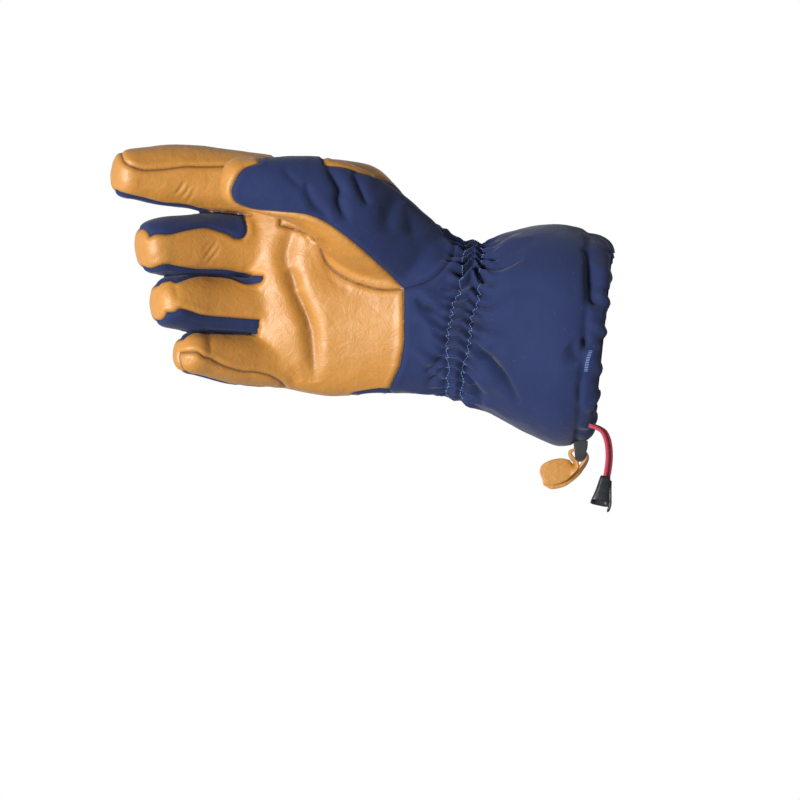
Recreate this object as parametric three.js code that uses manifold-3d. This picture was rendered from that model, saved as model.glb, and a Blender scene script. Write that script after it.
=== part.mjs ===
// Insulated gauntlet glove for a right hand, in the pose of a light pinch grip.
// Leather palm, finger pads and thumb, softshell back, fourchettes and gauntlet,
// an elasticated wrist, a drawcord hem, and a leather pull tab on a webbing loop.
//
// Millimetres. +X runs towards the forearm, +Y towards the back of the hand and
// +Z towards the thumb side. The origin is the middle of the cuff's opening.

import * as THREE from 'three';
import { mergeVertices } from 'three/addons/utils/BufferGeometryUtils.js';
import Module from 'manifold-3d';

const wasm = await Module();
wasm.setup();

// Walls and gaps
const HAND_WALL = 4.2;
const CUFF_WALL = 3;
const SEAM_GAP = 0.35;
const OUTSIDE = 140;
const HOLLOW_STEP = 6;
const HOLLOW_SPARE = 8;

// How far the cutting solids reach past a digit: beyond its tip, to its sides,
// and as a share of its half depth
const PAST_TIP = 3;
const CUT_SPARE = 0.2;
const CUT_DEPTH = 1.5;
const TIP_SPARE_WIDE = 0.9;
const TIP_SPARE_DEEP = 8;

// Roundness of the sections: 2 is an ellipse, more is squarer
const HAND_SQUARENESS = 2.5;
const CUFF_SQUARENESS = 2.1;
const DIGIT_SQUARENESS = 2.3;
const TIP_SQUARENESS = 2.6;
const PADDLE_SQUARENESS = 2.6;

// Steps of the faceted surfaces, and extra sections where a fold needs them
const FOLD_STATIONS = [-156, -150, -138, -76, -65, -55, -43, -28, -13];
const HAND_SIDES = 32;
const HOLLOW_SIDES = 16;
const DIGIT_SIDES = 12;
const DIGIT_HOLLOW_SIDES = 8;
const DOME_RINGS = 2;
const DOME_END = 0.4;
const THUMB_FOLD_SHARE = 0.8;

// Wrist elastic: two stitched lines that lean forwards as they go down
const ELASTIC_TOP_X = -64;
const ELASTIC_TOP_Z = 50;
const ELASTIC_LEAN = 0.16;
const ELASTIC_SPACING = 12;
const GATHER_COUNT = 8;
const GATHER_SHIFT = 2;
const GATHER_HEIGHT = 1.7;
const GATHER_REACH = 11;
const ELASTIC_PINCH = 0.55;

// Hem: a ruffled ring that holds the drawcord
const HEM_START = -7;
const HEM_LENGTH = 9.6;
const HEM_TURN_IN = 9;
const HEM_LEAN = 0.105;
const RUFFLE_COUNT = 11;
const RUFFLE_HEIGHT = 0.9;
const HEM_SIDES = 36;

// Hanging pieces at the hem
const CORD_DIAMETER = 2;
const CORD_SIDES = 8;
const CORD_STEPS = 9;
const WEBBING_THICKNESS = 1.4;
const TAB_THICKNESS = 1.3;

// A table is a list of rows under named columns.
function table(columns, rows) {
  const names = columns.split(' ');
  return rows.map((row) => Object.fromEntries(names.map((name, i) => [name, row[i]])));
}

// Hand and gauntlet, finger roots to hem: edges of the cross-section at each x
const HAND = table('x top bottom front back', [
  [-187, 84, -10, -9, 11],
  [-184, 92, -17, -15, 16],
  [-176, 95, -21, -20, 19],
  [-162, 97, -24, -22, 21],
  [-146, 98, -26.5, -22.5, 23],
  [-130, 97, -26.5, -23, 25],
  [-117, 93.3, -25.5, -24, 27],
  [-105, 80.5, -26, -25, 29],
  [-94, 68.5, -26.5, -28, 31],
  [-83, 60, -27, -31, 34],
  [-70, 56, -31, -33, 36],
  [-60, 54, -35.5, -36, 39],
  [-50, 58.5, -41, -41, 43],
  [-36, 63, -48, -46, 48],
  [-20, 64, -53.5, -50, 51],
  [-7, 61.5, -52, -50, 51],
]);

// Digits, root to tip: centre, half width across the hand and half depth
const INDEX = table('x y z wide deep', [
  [-150, 2, 79, 17, 16],
  [-175, -1, 83, 17, 16],
  [-195, -5, 86.2, 17, 15.5],
  [-215, -9.5, 88.2, 16.8, 15],
  [-233, -16, 89.2, 15.6, 14],
  [-246, -21.5, 89.7, 13.4, 12.4],
]);
const MIDDLE = table('x y z wide deep', [
  [-150, 2, 48.5, 16, 16],
  [-175, -1.5, 51.2, 16.2, 16],
  [-195, -7, 52.8, 16.2, 15.5],
  [-212, -14.5, 53, 16, 15],
  [-223.5, -21, 52.2, 15.7, 14.4],
  [-231.5, -25.5, 51.4, 14.8, 13.6],
]);
const RING = table('x y z wide deep', [
  [-150, 2, 19, 15.3, 16],
  [-173, -2, 19.7, 15.2, 15.8],
  [-191, -8, 20.6, 15.2, 15.2],
  [-206, -15.5, 21.2, 15, 14.6],
  [-216.5, -22.5, 21.6, 14.6, 14],
  [-224, -27.5, 21.6, 13.8, 13.2],
]);
const LITTLE = table('x y z wide deep', [
  [-150, 2, -9, 13.5, 15],
  [-170, -2.5, -9.2, 13.5, 14.5],
  [-185, -9, -8.2, 13.4, 14],
  [-197, -16, -7.2, 12.9, 13.4],
  [-206, -22.5, -6, 11.9, 12.6],
  [-213, -28, -5.2, 11, 11.8],
]);
const THUMB = table('x y z wide deep', [
  [-88, 2, 42, 19, 18],
  [-104, -8, 50, 22, 20],
  [-120, -18, 60, 24.7, 20.5],
  [-136, -27, 71, 23.5, 18.5],
  [-152, -34, 79, 19.5, 15.5],
  [-170, -37.5, 82.2, 15.8, 14],
  [-187, -38.5, 84, 14, 12.8],
]);
const DIGITS = table('name rows dome', [
  ['index', INDEX, 11.8],
  ['middle', MIDDLE, 13],
  ['ring', RING, 12.5],
  ['little', LITTLE, 11],
  ['thumb', THUMB, 13.3],
]);

// Main folds and dents of the palm side, each a valley between two points
const FOLDS = table('x1 z1 x2 z2 width depth', [
  [-150, 56, -159, 25, 5, 3.4],
  [-159, 25, -153, -4, 5.5, 4.6],
  [-153, -4, -157, -22, 5, 3.6],
  [-167, 97, -159, 81, 3.5, 1.4],
  [-155, 87, -143, 65, 4, 2],
  [-145, 97, -137, 66, 4, 2.2],
  [-131, 94, -123, 73, 4.5, 2],
  [-109, 77, -112, 59, 4.5, 1.8],
  [-70, -6, -42, -33, 4, 2.4],
  [-72, -18, -63, -31, 4, 2],
  [-62, 37, -45, 44, 4.5, 2],
  [-96, 12, -80, 8, 4, 1.4],
  [-12, 10, -8, -18, 6, 2.6],
  [-8, 42, -3, 20, 5, 2.4],
]);

// Angles of the panel seams round each finger, in degrees: 0 faces the grip,
// and the positive side is the thumb side
const PANELS = table('name sideFrom sideTo padFrom padTo', [
  ['index', 24, 94, -58, 24],
  ['middle', 30, 118, -60, 30],
  ['ring', 62, 118, -32, 62],
  ['little', 58, 112, -27, 58],
]);
const FOURCHETTE_EDGE = -118;
const LITTLE_SIDE_EDGE = -90;

// Where the panels start and end along a finger: whole numbers are its rows and
// the rest of the last number is the share of its domed tip
const SIDE_PANEL_START = 1;
const FOURCHETTE_START = 1.2;
const SIDE_PANEL_END = 5.4;
const TIP_WRAP = 4;
const TIP = 99;

// Seams on the palm side, as seen from the front
const THUMB_PANEL_LOWER = table('x z', [
  [-181, 97], [-189, 93.5], [-194, 86], [-195.5, 80.5], [-192, 74.5], [-181, 71],
  [-155, 68.8], [-137, 59.3], [-117, 42.4], [-104, 29.7],
]);
const THUMB_PANEL_ARC = table('x z', [
  [-104, 29.7], [-90, 34.5], [-80.5, 43.5], [-77.4, 51], [-83.7, 60.4],
]);
const THUMB_PANEL_UPPER = table('x z', [
  [-110.5, 87.7], [-117, 90.4], [-127, 93.2], [-135, 96], [-146, 97.5],
]);
const THUMB_PANEL_OUTSIDE = table('x z', [
  [-80, 80], [-98, 100], [-110.5, 100],
]);
const THUMB_PANEL_CENTRE = { x: -135, z: 76 };
const THUMB_EDGE = table('x z', [
  [-203, 70], [-190, 69], [-175, 65],
]);
const THENAR_SEAM = table('x z', [
  [-158, 60], [-151, 54], [-144, 42], [-133, 34.5], [-117, 29.5], [-104, 29.7],
]);
const PALM_END = table('x z', [
  [-104, 29.7], [-104, 1], [-106, -11], [-111.3, -23.5],
]);
const ABOVE = 112;
const BELOW = -60;
const PAST_CUFF = 10;
const PALM_OUTLINE = table('x z', [
  [-190, BELOW], [-131, BELOW], [-131, -25.5], [-117, -23.4], [-104, -23.4],
  [-104, ABOVE], [-190, ABOVE],
]);
const SEAM_STEPS = { thumbLower: 18, thumbArc: 8, thumbUpper: 6, thenar: 9, palmEnd: 6 };

// How far back the thumb's panels reach: y at each x
const THUMB_PANEL_DEPTH = table('x y', [
  [-210, -37], [-168, -37], [-150, -30], [-134, -12], [-112, 3.5], [-60, 3.5],
]);
const THUMB_DEPTH = table('x y', [
  [-210, -23.4], [-163, -23.4], [-154, -8], [-146, 3.5], [-60, 3.5],
]);
const PALM_DEPTH = table('x y', [
  [-210, -9], [-180, -9], [-173, 2.5], [-60, 2.5],
]);
const SIDE_SEAM_Y = 2.5;
const BACK_SEAM_X = -84;

// A smooth value of one column where another column has the value at.
function along(rows, key, at, name) {
  let i = 1;
  while (i < rows.length - 1 && rows[i][key] < at) i += 1;
  const from = rows[i - 1];
  const to = rows[i];
  const slope = (j) => {
    const before = rows[Math.max(j - 1, 0)];
    const after = rows[Math.min(j + 1, rows.length - 1)];
    return (after[name] - before[name]) / (after[key] - before[key]);
  };
  const span = to[key] - from[key];
  const t = (at - from[key]) / span;
  const ease = t * t * (3 - 2 * t);
  const out = t * (1 - t) * (1 - t) * span * slope(i - 1);
  const back = t * t * (1 - t) * span * slope(i);
  return from[name] + (to[name] - from[name]) * ease + out - back;
}

// One coordinate of a rounded section whose squareness is given.
function rounded(value, squareness) {
  return Math.sign(value) * Math.abs(value) ** (2 / squareness);
}

function distanceToLine(x, z, row) {
  const dx = row.x2 - row.x1;
  const dz = row.z2 - row.z1;
  const t = ((x - row.x1) * dx + (z - row.z1) * dz) / (dx * dx + dz * dz);
  const near = Math.min(Math.max(t, 0), 1);
  return Math.hypot(x - row.x1 - near * dx, z - row.z1 - near * dz);
}

// Depth of the folds at a point of the palm side.
function foldDepth(x, z) {
  let depth = 0;
  for (const fold of FOLDS) {
    const reach = distanceToLine(x, z, fold) / fold.width;
    depth = Math.max(depth, fold.depth * Math.exp(-reach * reach));
  }
  return depth;
}

// Height of the gathers at the wrist elastic, by place and by turn about the wrist.
function gatherHeight(x, z, turn) {
  let height = 0;
  for (const line of [0, 1]) {
    const lineX = ELASTIC_TOP_X - line * ELASTIC_SPACING - ELASTIC_LEAN * (ELASTIC_TOP_Z - z);
    const reach = (x - lineX) / GATHER_REACH;
    const near = Math.exp(-reach * reach);
    const wave = Math.cos(GATHER_COUNT * turn + line * GATHER_SHIFT);
    height += near * (GATHER_HEIGHT * wave - ELASTIC_PINCH);
  }
  return height;
}

// Turns a closed geometry into a solid whose faces point outwards.
function solid(geometry) {
  const bare = geometry.index ? geometry.toNonIndexed() : geometry.clone();
  bare.deleteAttribute('normal');
  bare.deleteAttribute('uv');
  const merged = mergeVertices(bare, 1e-4);
  const position = merged.attributes.position;
  const corners = merged.index.array;
  const a = new THREE.Vector3();
  const b = new THREE.Vector3();
  const c = new THREE.Vector3();
  const triangles = [];
  let volume = 0;
  for (let i = 0; i < corners.length; i += 3) {
    const [p, q, r] = [corners[i], corners[i + 1], corners[i + 2]];
    if (p === q || q === r || r === p) continue;
    a.fromBufferAttribute(position, p);
    b.fromBufferAttribute(position, q);
    c.fromBufferAttribute(position, r);
    volume += a.dot(b.cross(c));
    triangles.push([p, q, r]);
  }
  const order = volume < 0 ? [0, 2, 1] : [0, 1, 2];
  const triVerts = new Uint32Array(triangles.flatMap((corner) => order.map((k) => corner[k])));
  const vertProperties = new Float32Array(position.array);
  return new wasm.Manifold(new wasm.Mesh({ numProp: 3, vertProperties, triVerts }));
}

// A closed skin over a row of rings with equal numbers of points.
// A looped row joins its last ring to its first and has no end caps.
function skin(rings, looped = false) {
  const sides = rings[0].length;
  const points = [];
  const put = (...corners) => corners.forEach((corner) => points.push(corner.x, corner.y, corner.z));
  const count = looped ? rings.length : rings.length - 1;
  for (let i = 0; i < count; i += 1) {
    const here = rings[i];
    const next = rings[(i + 1) % rings.length];
    for (let j = 0; j < sides; j += 1) {
      const k = (j + 1) % sides;
      put(here[j], next[j], next[k]);
      put(here[j], next[k], here[k]);
    }
  }
  if (!looped) {
    for (const ring of [rings[0], [...rings[rings.length - 1]].reverse()]) {
      const middle = new THREE.Vector3();
      ring.forEach((corner) => middle.addScaledVector(corner, 1 / sides));
      for (let j = 0; j < sides; j += 1) put(middle, ring[j], ring[(j + 1) % sides]);
    }
  }
  const geometry = new THREE.BufferGeometry();
  geometry.setAttribute('position', new THREE.Float32BufferAttribute(points, 3));
  return geometry;
}

// One ring of the hand and gauntlet at x, shrunk by the wall for the hollow.
function handRing(x, wall, sides) {
  const top = along(HAND, 'x', x, 'top') - wall;
  const bottom = along(HAND, 'x', x, 'bottom') + wall;
  const front = along(HAND, 'x', x, 'front') + wall;
  const back = along(HAND, 'x', x, 'back') - wall;
  const squareness = x < BACK_SEAM_X ? HAND_SQUARENESS : CUFF_SQUARENESS;
  const ring = [];
  for (let j = 0; j < sides; j += 1) {
    const turn = (2 * Math.PI * j) / sides;
    const across = rounded(Math.cos(turn), squareness);
    const deep = rounded(Math.sin(turn), squareness);
    let z = (top + bottom) / 2 + ((top - bottom) / 2) * across;
    let y = (front + back) / 2 - ((back - front) / 2) * deep;
    const dent = deep > 0 ? foldDepth(x, z) * Math.min(1, 2 * deep) : 0;
    const lift = gatherHeight(x, z, turn) - dent;
    const size = Math.hypot(y - (front + back) / 2, z - (top + bottom) / 2);
    const grow = 1 + lift / size;
    y = (front + back) / 2 + (y - (front + back) / 2) * grow;
    z = (top + bottom) / 2 + (z - (top + bottom) / 2) * grow;
    ring.push(new THREE.Vector3(x, y, z));
  }
  return ring;
}

// Rings of the hand from start to end, at its rows and at the named extra places.
function handRings(wall, start, end, sides, extra = []) {
  const stations = [...HAND.map((row) => row.x), ...extra]
    .filter((x) => x > start + 1 && x < end - 1)
    .sort((a, b) => a - b);
  return [start, ...stations, end].map((x) => {
    const ring = handRing(Math.min(x, HAND[HAND.length - 1].x), wall, sides);
    return ring.map((corner) => new THREE.Vector3(x, corner.y, corner.z));
  });
}

// The local frame of a digit at a station between its rows.
function digitFrame(rows, station) {
  const numbered = rows.map((row, i) => ({ ...row, at: i }));
  const value = (name, at) => along(numbered, 'at', at, name);
  const point = (at) => new THREE.Vector3(value('x', at), value('y', at), value('z', at));
  const step = 0.05;
  const before = point(Math.max(station - step, 0));
  const after = point(Math.min(station + step, rows.length - 1));
  const forward = after.sub(before).normalize();
  const side = new THREE.Vector3(0, 0, 1);
  side.addScaledVector(forward, -side.dot(forward)).normalize();
  return {
    centre: point(station),
    forward,
    side,
    behind: forward.clone().cross(side),
    wide: value('wide', station),
    deep: value('deep', station),
  };
}

function placed(frame, across, depth, ahead = 0) {
  return frame.centre.clone()
    .addScaledVector(frame.side, across)
    .addScaledVector(frame.behind, depth)
    .addScaledVector(frame.forward, ahead);
}

// A digit with a domed tip, shrunk by the wall for the hollow.
function digitForm(digit, wall, sides) {
  const { rows, dome } = digit;
  const ring = (frame, scale, ahead) => {
    const corners = [];
    for (let j = 0; j < sides; j += 1) {
      const turn = (2 * Math.PI * j) / sides;
      const across = rounded(Math.sin(turn), DIGIT_SQUARENESS) * (frame.wide - wall) * scale;
      const depth = -rounded(Math.cos(turn), DIGIT_SQUARENESS) * (frame.deep - wall) * scale;
      const corner = placed(frame, across, depth, ahead);
      const grip = digit.name === 'thumb' && depth < 0 ? foldDepth(corner.x, corner.z) : 0;
      corners.push(corner.addScaledVector(frame.behind, grip * THUMB_FOLD_SHARE));
    }
    return corners;
  };
  const rings = [];
  const perRow = digit.name === 'thumb' && wall === 0 ? 2 : 1;
  const steps = (rows.length - 1) * perRow;
  for (let i = 0; i <= steps; i += 1) rings.push(ring(digitFrame(rows, i / perRow), 1, 0));
  const last = digitFrame(rows, rows.length - 1);
  for (let i = 1; i <= DOME_RINGS; i += 1) {
    const rise = (i / (DOME_RINGS + DOME_END)) * (Math.PI / 2);
    const scale = rounded(Math.cos(rise), TIP_SQUARENESS);
    rings.push(ring(last, scale, (dome - wall) * rounded(Math.sin(rise), TIP_SQUARENESS)));
  }
  return skin(rings);
}

// A wedge round a digit between two angles, used to cut its panels.
// A positive grow widens it on every cut side.
function wedge(digit, from, to, start, end, grow = 0) {
  const { rows, dome } = digit;
  const rings = [];
  const arc = 4;
  const radians = Math.PI / 180;
  const middle = ((from + to) / 2) * radians;
  const half = ((to - from) / 2) * radians;
  const ring = (frame, ahead) => {
    const limitAcross = frame.wide + CUT_SPARE + grow;
    const limitDeep = frame.deep * CUT_DEPTH + grow;
    const pull = grow / Math.sin(half);
    const corners = [placed(frame, -pull * Math.sin(middle), pull * Math.cos(middle), ahead)];
    for (let j = 0; j <= arc; j += 1) {
      const turn = (from + ((to - from) * j) / arc) * radians;
      const across = rounded(Math.sin(turn), DIGIT_SQUARENESS) * frame.wide;
      const depth = -rounded(Math.cos(turn), DIGIT_SQUARENESS) * frame.deep;
      const scale = Math.min(limitAcross / Math.abs(across), limitDeep / Math.abs(depth));
      const size = Math.hypot(across, depth);
      const edge = j === 0 ? -grow : j === arc ? grow : 0;
      corners.push(placed(
        frame,
        across * scale - (edge * depth) / size,
        depth * scale + (edge * across) / size,
        ahead,
      ));
    }
    return corners;
  };
  const stop = Math.min(end, rows.length - 1);
  const steps = Math.max(2, Math.round(stop - start));
  rings.push(ring(digitFrame(rows, start), -grow));
  for (let i = 1; i <= steps; i += 1) {
    rings.push(ring(digitFrame(rows, start + ((stop - start) * i) / steps), 0));
  }
  const beyond = Math.min((end - stop) * dome, dome + PAST_TIP);
  rings.push(ring(digitFrame(rows, stop), Math.max(beyond, CUT_SPARE) + grow));
  return solid(skin(rings));
}

// The tip of a digit, all round, from a little past the start of its dome.
function tipRegion(digit, grow) {
  const last = digitFrame(digit.rows, digit.rows.length - 1);
  const ring = (ahead) => [[-1, -1], [-1, 1], [1, 1], [1, -1]].map(([u, v]) => placed(
    last,
    u * (last.wide + TIP_SPARE_WIDE),
    v * (last.deep + TIP_SPARE_DEEP),
    ahead,
  ));
  return solid(skin([ring(TIP_WRAP - grow), ring(digit.dome + PAST_TIP)]));
}

// A solid over an outline seen from the front, between two depths.
function frontPrism(outline, near, far) {
  const shape = new THREE.Shape(outline.map((p) => new THREE.Vector2(p.x, p.z)));
  const geometry = new THREE.ExtrudeGeometry(shape, { depth: far - near, bevelEnabled: false });
  geometry.applyMatrix4(new THREE.Matrix4().set(1, 0, 0, 0, 0, 0, 1, near, 0, 1, 0, 0, 0, 0, 0, 1));
  return solid(geometry);
}

// Everything on the palm side of a row of depths, over the whole height.
function inFrontOf(rows, grow) {
  const line = rows.map((row) => new THREE.Vector2(row.x, row.y + grow));
  const ends = [line[line.length - 1], line[0]].map((p) => new THREE.Vector2(p.x, -OUTSIDE));
  const shape = new THREE.Shape([...line, ...ends]);
  const geometry = new THREE.ExtrudeGeometry(shape, { depth: 2 * OUTSIDE, bevelEnabled: false });
  geometry.translate(0, 0, -OUTSIDE);
  return solid(geometry);
}

function box(x1, x2, y1, y2, z1, z2) {
  const geometry = new THREE.BoxGeometry(x2 - x1, y2 - y1, z2 - z1);
  geometry.translate((x1 + x2) / 2, (y1 + y2) / 2, (z1 + z2) / 2);
  return solid(geometry);
}

function smooth(points, count) {
  const curve = new THREE.SplineCurve(points.map((p) => new THREE.Vector2(p.x, p.z)));
  return curve.getPoints(count).map((p) => ({ x: p.x, z: p.y }));
}

function shifted(points, dx, dz) {
  return points.map((p) => ({ x: p.x + dx, z: p.z + dz }));
}

// Keeps the largest connected body of a mesh, so that a cut leaves no crumbs.
function largestBody(body) {
  const mesh = body.getMesh();
  const corners = mesh.triVerts;
  const parent = Array.from({ length: mesh.vertProperties.length / mesh.numProp }, (_, i) => i);
  const find = (i) => {
    while (parent[i] !== i) {
      parent[i] = parent[parent[i]];
      i = parent[i];
    }
    return i;
  };
  for (let i = 0; i < corners.length; i += 3) {
    parent[find(corners[i])] = find(corners[i + 1]);
    parent[find(corners[i + 1])] = find(corners[i + 2]);
  }
  const volumes = new Map();
  const at = (i) => new THREE.Vector3().fromArray(mesh.vertProperties, i * mesh.numProp);
  for (let i = 0; i < corners.length; i += 3) {
    const [a, b, c] = [at(corners[i]), at(corners[i + 1]), at(corners[i + 2])];
    const root = find(corners[i]);
    volumes.set(root, (volumes.get(root) ?? 0) + a.dot(b.cross(c)) / 6);
  }
  const [best] = [...volumes.entries()].sort((p, q) => q[1] - p[1])[0];
  const points = [];
  for (let i = 0; i < corners.length; i += 3) {
    if (find(corners[i]) !== best) continue;
    for (const corner of [corners[i], corners[i + 1], corners[i + 2]]) points.push(...at(corner));
  }
  const geometry = new THREE.BufferGeometry();
  geometry.setAttribute('position', new THREE.Float32BufferAttribute(points, 3));
  return geometry;
}

// The whole shell: outer forms joined, less the hollow for the hand
const digits = Object.fromEntries(DIGITS.map((digit) => [digit.name, digit]));
const panels = Object.fromEntries(PANELS.map((panel) => [panel.name, panel]));

function joined(rings, wall, sides) {
  let form = solid(skin(rings));
  for (const digit of DIGITS) form = form.add(solid(digitForm(digit, wall, sides)));
  return form;
}

const outerRings = handRings(0, HAND[0].x, HEM_START - SEAM_GAP, HAND_SIDES, FOLD_STATIONS);
const outer = joined(outerRings, 0, DIGIT_SIDES);
const hollow = joined([
  ...handRings(HAND_WALL, HAND[0].x + HAND_WALL, BACK_SEAM_X, HOLLOW_SIDES),
  ...handRings(CUFF_WALL, BACK_SEAM_X + HOLLOW_STEP, HEM_START + HOLLOW_SPARE, HOLLOW_SIDES),
], HAND_WALL, DIGIT_HOLLOW_SIDES);
const shell = outer.subtract(hollow);

// Thumb: the softshell back and the leather that wraps its tip and both sides
function thumbPanel(grow) {
  const outline = [
    ...smooth(THUMB_PANEL_LOWER, SEAM_STEPS.thumbLower),
    ...smooth(THUMB_PANEL_ARC, SEAM_STEPS.thumbArc).slice(1),
    ...THUMB_PANEL_OUTSIDE,
    ...smooth(THUMB_PANEL_UPPER, SEAM_STEPS.thumbUpper),
    { x: -150, z: ABOVE },
    { x: -178, z: ABOVE },
  ];
  const wider = outline.map((p) => {
    const [dx, dz] = [p.x - THUMB_PANEL_CENTRE.x, p.z - THUMB_PANEL_CENTRE.z];
    const size = Math.hypot(dx, dz);
    return { x: p.x + (dx * grow) / size, z: p.z + (dz * grow) / size };
  });
  return frontPrism(wider, -OUTSIDE, OUTSIDE).intersect(inFrontOf(THUMB_PANEL_DEPTH, grow));
}

function thumbRegion(grow) {
  const end = THENAR_SEAM[THENAR_SEAM.length - 1].x + grow;
  const outline = [
    { x: THUMB_EDGE[0].x - grow, z: ABOVE },
    ...shifted(THUMB_EDGE, -grow, -grow),
    ...shifted(smooth(THENAR_SEAM, SEAM_STEPS.thenar), 0, -grow),
    { x: end, z: THENAR_SEAM[THENAR_SEAM.length - 1].z - grow },
    { x: end, z: ABOVE },
  ];
  return frontPrism(outline, -OUTSIDE, OUTSIDE).intersect(inFrontOf(THUMB_DEPTH, grow));
}

function gauntletRegion(grow) {
  const end = shifted(smooth(PALM_END, SEAM_STEPS.palmEnd), -grow, 0);
  const outline = [
    { x: end[0].x, z: ABOVE },
    ...end,
    { x: end[end.length - 1].x, z: BELOW },
    { x: PAST_CUFF, z: BELOW },
    { x: PAST_CUFF, z: ABOVE },
  ];
  return frontPrism(outline, -OUTSIDE, SIDE_SEAM_Y + grow)
    .add(box(BACK_SEAM_X - grow, PAST_CUFF, -OUTSIDE, OUTSIDE, -OUTSIDE, OUTSIDE));
}

const pieces = {};
let rest = shell;

// Takes the part of the shell inside a region, and leaves a seam's gap round it.
function take(name, region) {
  pieces[name] = rest.intersect(region(0));
  rest = rest.subtract(region(SEAM_GAP));
}

take('thumb_back', thumbPanel);
take('thumb_leather', thumbRegion);
take('gauntlet', gauntletRegion);
take('index_side_leather', (grow) => wedge(
  digits.index, panels.index.sideFrom, panels.index.sideTo, SIDE_PANEL_START, SIDE_PANEL_END, grow,
));
take('little_side_leather', (grow) => wedge(
  digits.little, LITTLE_SIDE_EDGE, panels.little.padFrom, SIDE_PANEL_START, SIDE_PANEL_END, grow,
));

// Fourchettes: each strip runs up the facing sides of two fingers from its web
const WEBS = table('upper lower z', [
  ['index', 'middle', 67.5],
  ['middle', 'ring', 35],
  ['ring', 'little', 4.5],
]);
const WEB_BOX = { x1: -190, x2: -176, y1: -9, y2: 14, halfHigh: 7 };
for (const web of WEBS) {
  take(`fourchette_${web.upper}_${web.lower}`, (grow) => {
    const strip = (name, from, to) => wedge(
      digits[name], from, to, FOURCHETTE_START, SIDE_PANEL_END, grow,
    );
    const upper = strip(web.upper, FOURCHETTE_EDGE, panels[web.upper].padFrom);
    const lower = strip(web.lower, panels[web.lower].padTo, panels[web.lower].sideTo);
    const join = box(
      WEB_BOX.x1 - grow, WEB_BOX.x2 + grow,
      WEB_BOX.y1 - grow, WEB_BOX.y2 + grow,
      web.z - WEB_BOX.halfHigh - grow, web.z + WEB_BOX.halfHigh + grow,
    );
    return upper.add(lower).add(join);
  });
}

// Palm: the front of the hand with the pads of the four fingers
take('palm_leather', (grow) => {
  let region = frontPrism(shifted(PALM_OUTLINE, 0, -grow), -OUTSIDE, OUTSIDE)
    .intersect(inFrontOf(PALM_DEPTH, grow));
  for (const panel of PANELS) {
    const digit = digits[panel.name];
    region = region.add(wedge(digit, panel.padFrom, panel.padTo, SIDE_PANEL_START, TIP, grow));
    region = region.add(tipRegion(digit, grow));
  }
  return region;
});
pieces.hand_back = rest;

// Hem: a ruffled ring that turns in round the drawcord. Its profile is in shares
// of the hem's length and of its turn in.
const HEM_PROFILE = table('ahead inward', [
  [0, 0], [0.4, 0.1], [0.75, 0.33], [1, 0.7], [0.95, 1], [0.6, 1.02], [0.5, 0.7], [0, 0.49],
]);
function hemRing(turn) {
  const end = HAND[HAND.length - 1];
  const ring = [];
  const ruffle = RUFFLE_HEIGHT * Math.cos(RUFFLE_COUNT * turn) * Math.sin(2 * turn + 1);
  for (const row of HEM_PROFILE) {
    const inward = row.inward * HEM_TURN_IN - ruffle * row.ahead;
    const top = end.top - inward;
    const bottom = end.bottom + inward;
    const front = end.front + inward;
    const back = end.back - inward;
    const across = rounded(Math.cos(turn), CUFF_SQUARENESS);
    const deep = rounded(Math.sin(turn), CUFF_SQUARENESS);
    const z = (top + bottom) / 2 + ((top - bottom) / 2) * across;
    const y = (front + back) / 2 - ((back - front) / 2) * deep;
    const lean = row.ahead * HEM_LEAN * z;
    ring.push(new THREE.Vector3(HEM_START + row.ahead * HEM_LENGTH + lean, y, z));
  }
  return ring;
}

const hemRings = [];
for (let i = 0; i < HEM_SIDES; i += 1) hemRings.push(hemRing((2 * Math.PI * i) / HEM_SIDES));
let hem = solid(skin(hemRings, true));

// Drawcord: two strands that leave the hem and go into the cord end
const CORD_ROUTE = table('x y z', [
  [-5.5, -26, -42.5],
  [-2.2, -28.5, -43.8],
  [1, -29.5, -46.2],
  [3, -29.5, -51.5],
  [3.6, -29.2, -59],
  [2.9, -29, -66],
  [1.9, -29, -71],
  [1, -29, -76],
]);
const STRAND_OFFSET = { x: 1, y: 1 };

function strandRoute(side) {
  return new THREE.CatmullRomCurve3(CORD_ROUTE.map((row) => new THREE.Vector3(
    row.x + side * STRAND_OFFSET.x,
    row.y + side * STRAND_OFFSET.y,
    row.z,
  )));
}

function strand(side, diameter) {
  const section = new THREE.Shape();
  for (let i = 0; i < CORD_SIDES; i += 1) {
    const turn = (2 * Math.PI * i) / CORD_SIDES;
    const [u, v] = [(diameter / 2) * Math.cos(turn), (diameter / 2) * Math.sin(turn)];
    if (i === 0) section.moveTo(u, v);
    else section.lineTo(u, v);
  }
  section.closePath();
  return new THREE.ExtrudeGeometry(section, {
    steps: CORD_STEPS,
    bevelEnabled: false,
    extrudePath: strandRoute(side),
  });
}

// Cord end: a tapered plastic body with an open mouth and a gripping lip
const CORD_END = table('at wide deep', [
  [0, 5.8, 5.8],
  [2, 6.2, 6.2],
  [8, 7.4, 6.8],
  [14.5, 10.4, 7.4],
]);
const CORD_END_MOUTH = table('at wide deep', [[9.5, 7.6, 6.8], [15.5, 10.8, 7.4]]);
const CORD_END_LIP = table('at wide deep', [[12.5, 10.2, 7], [18, 12.4, 5.4]]);
const CORD_END_TOP = new THREE.Vector3(1.7, -29, -69);
const CORD_END_AXIS = new THREE.Vector3(-0.2, 0, -0.98).normalize();
const CORD_END_CORNER = 0.28;
const CORD_END_WALL = 1.2;
const LIP_START_X = 3.4;

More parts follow.
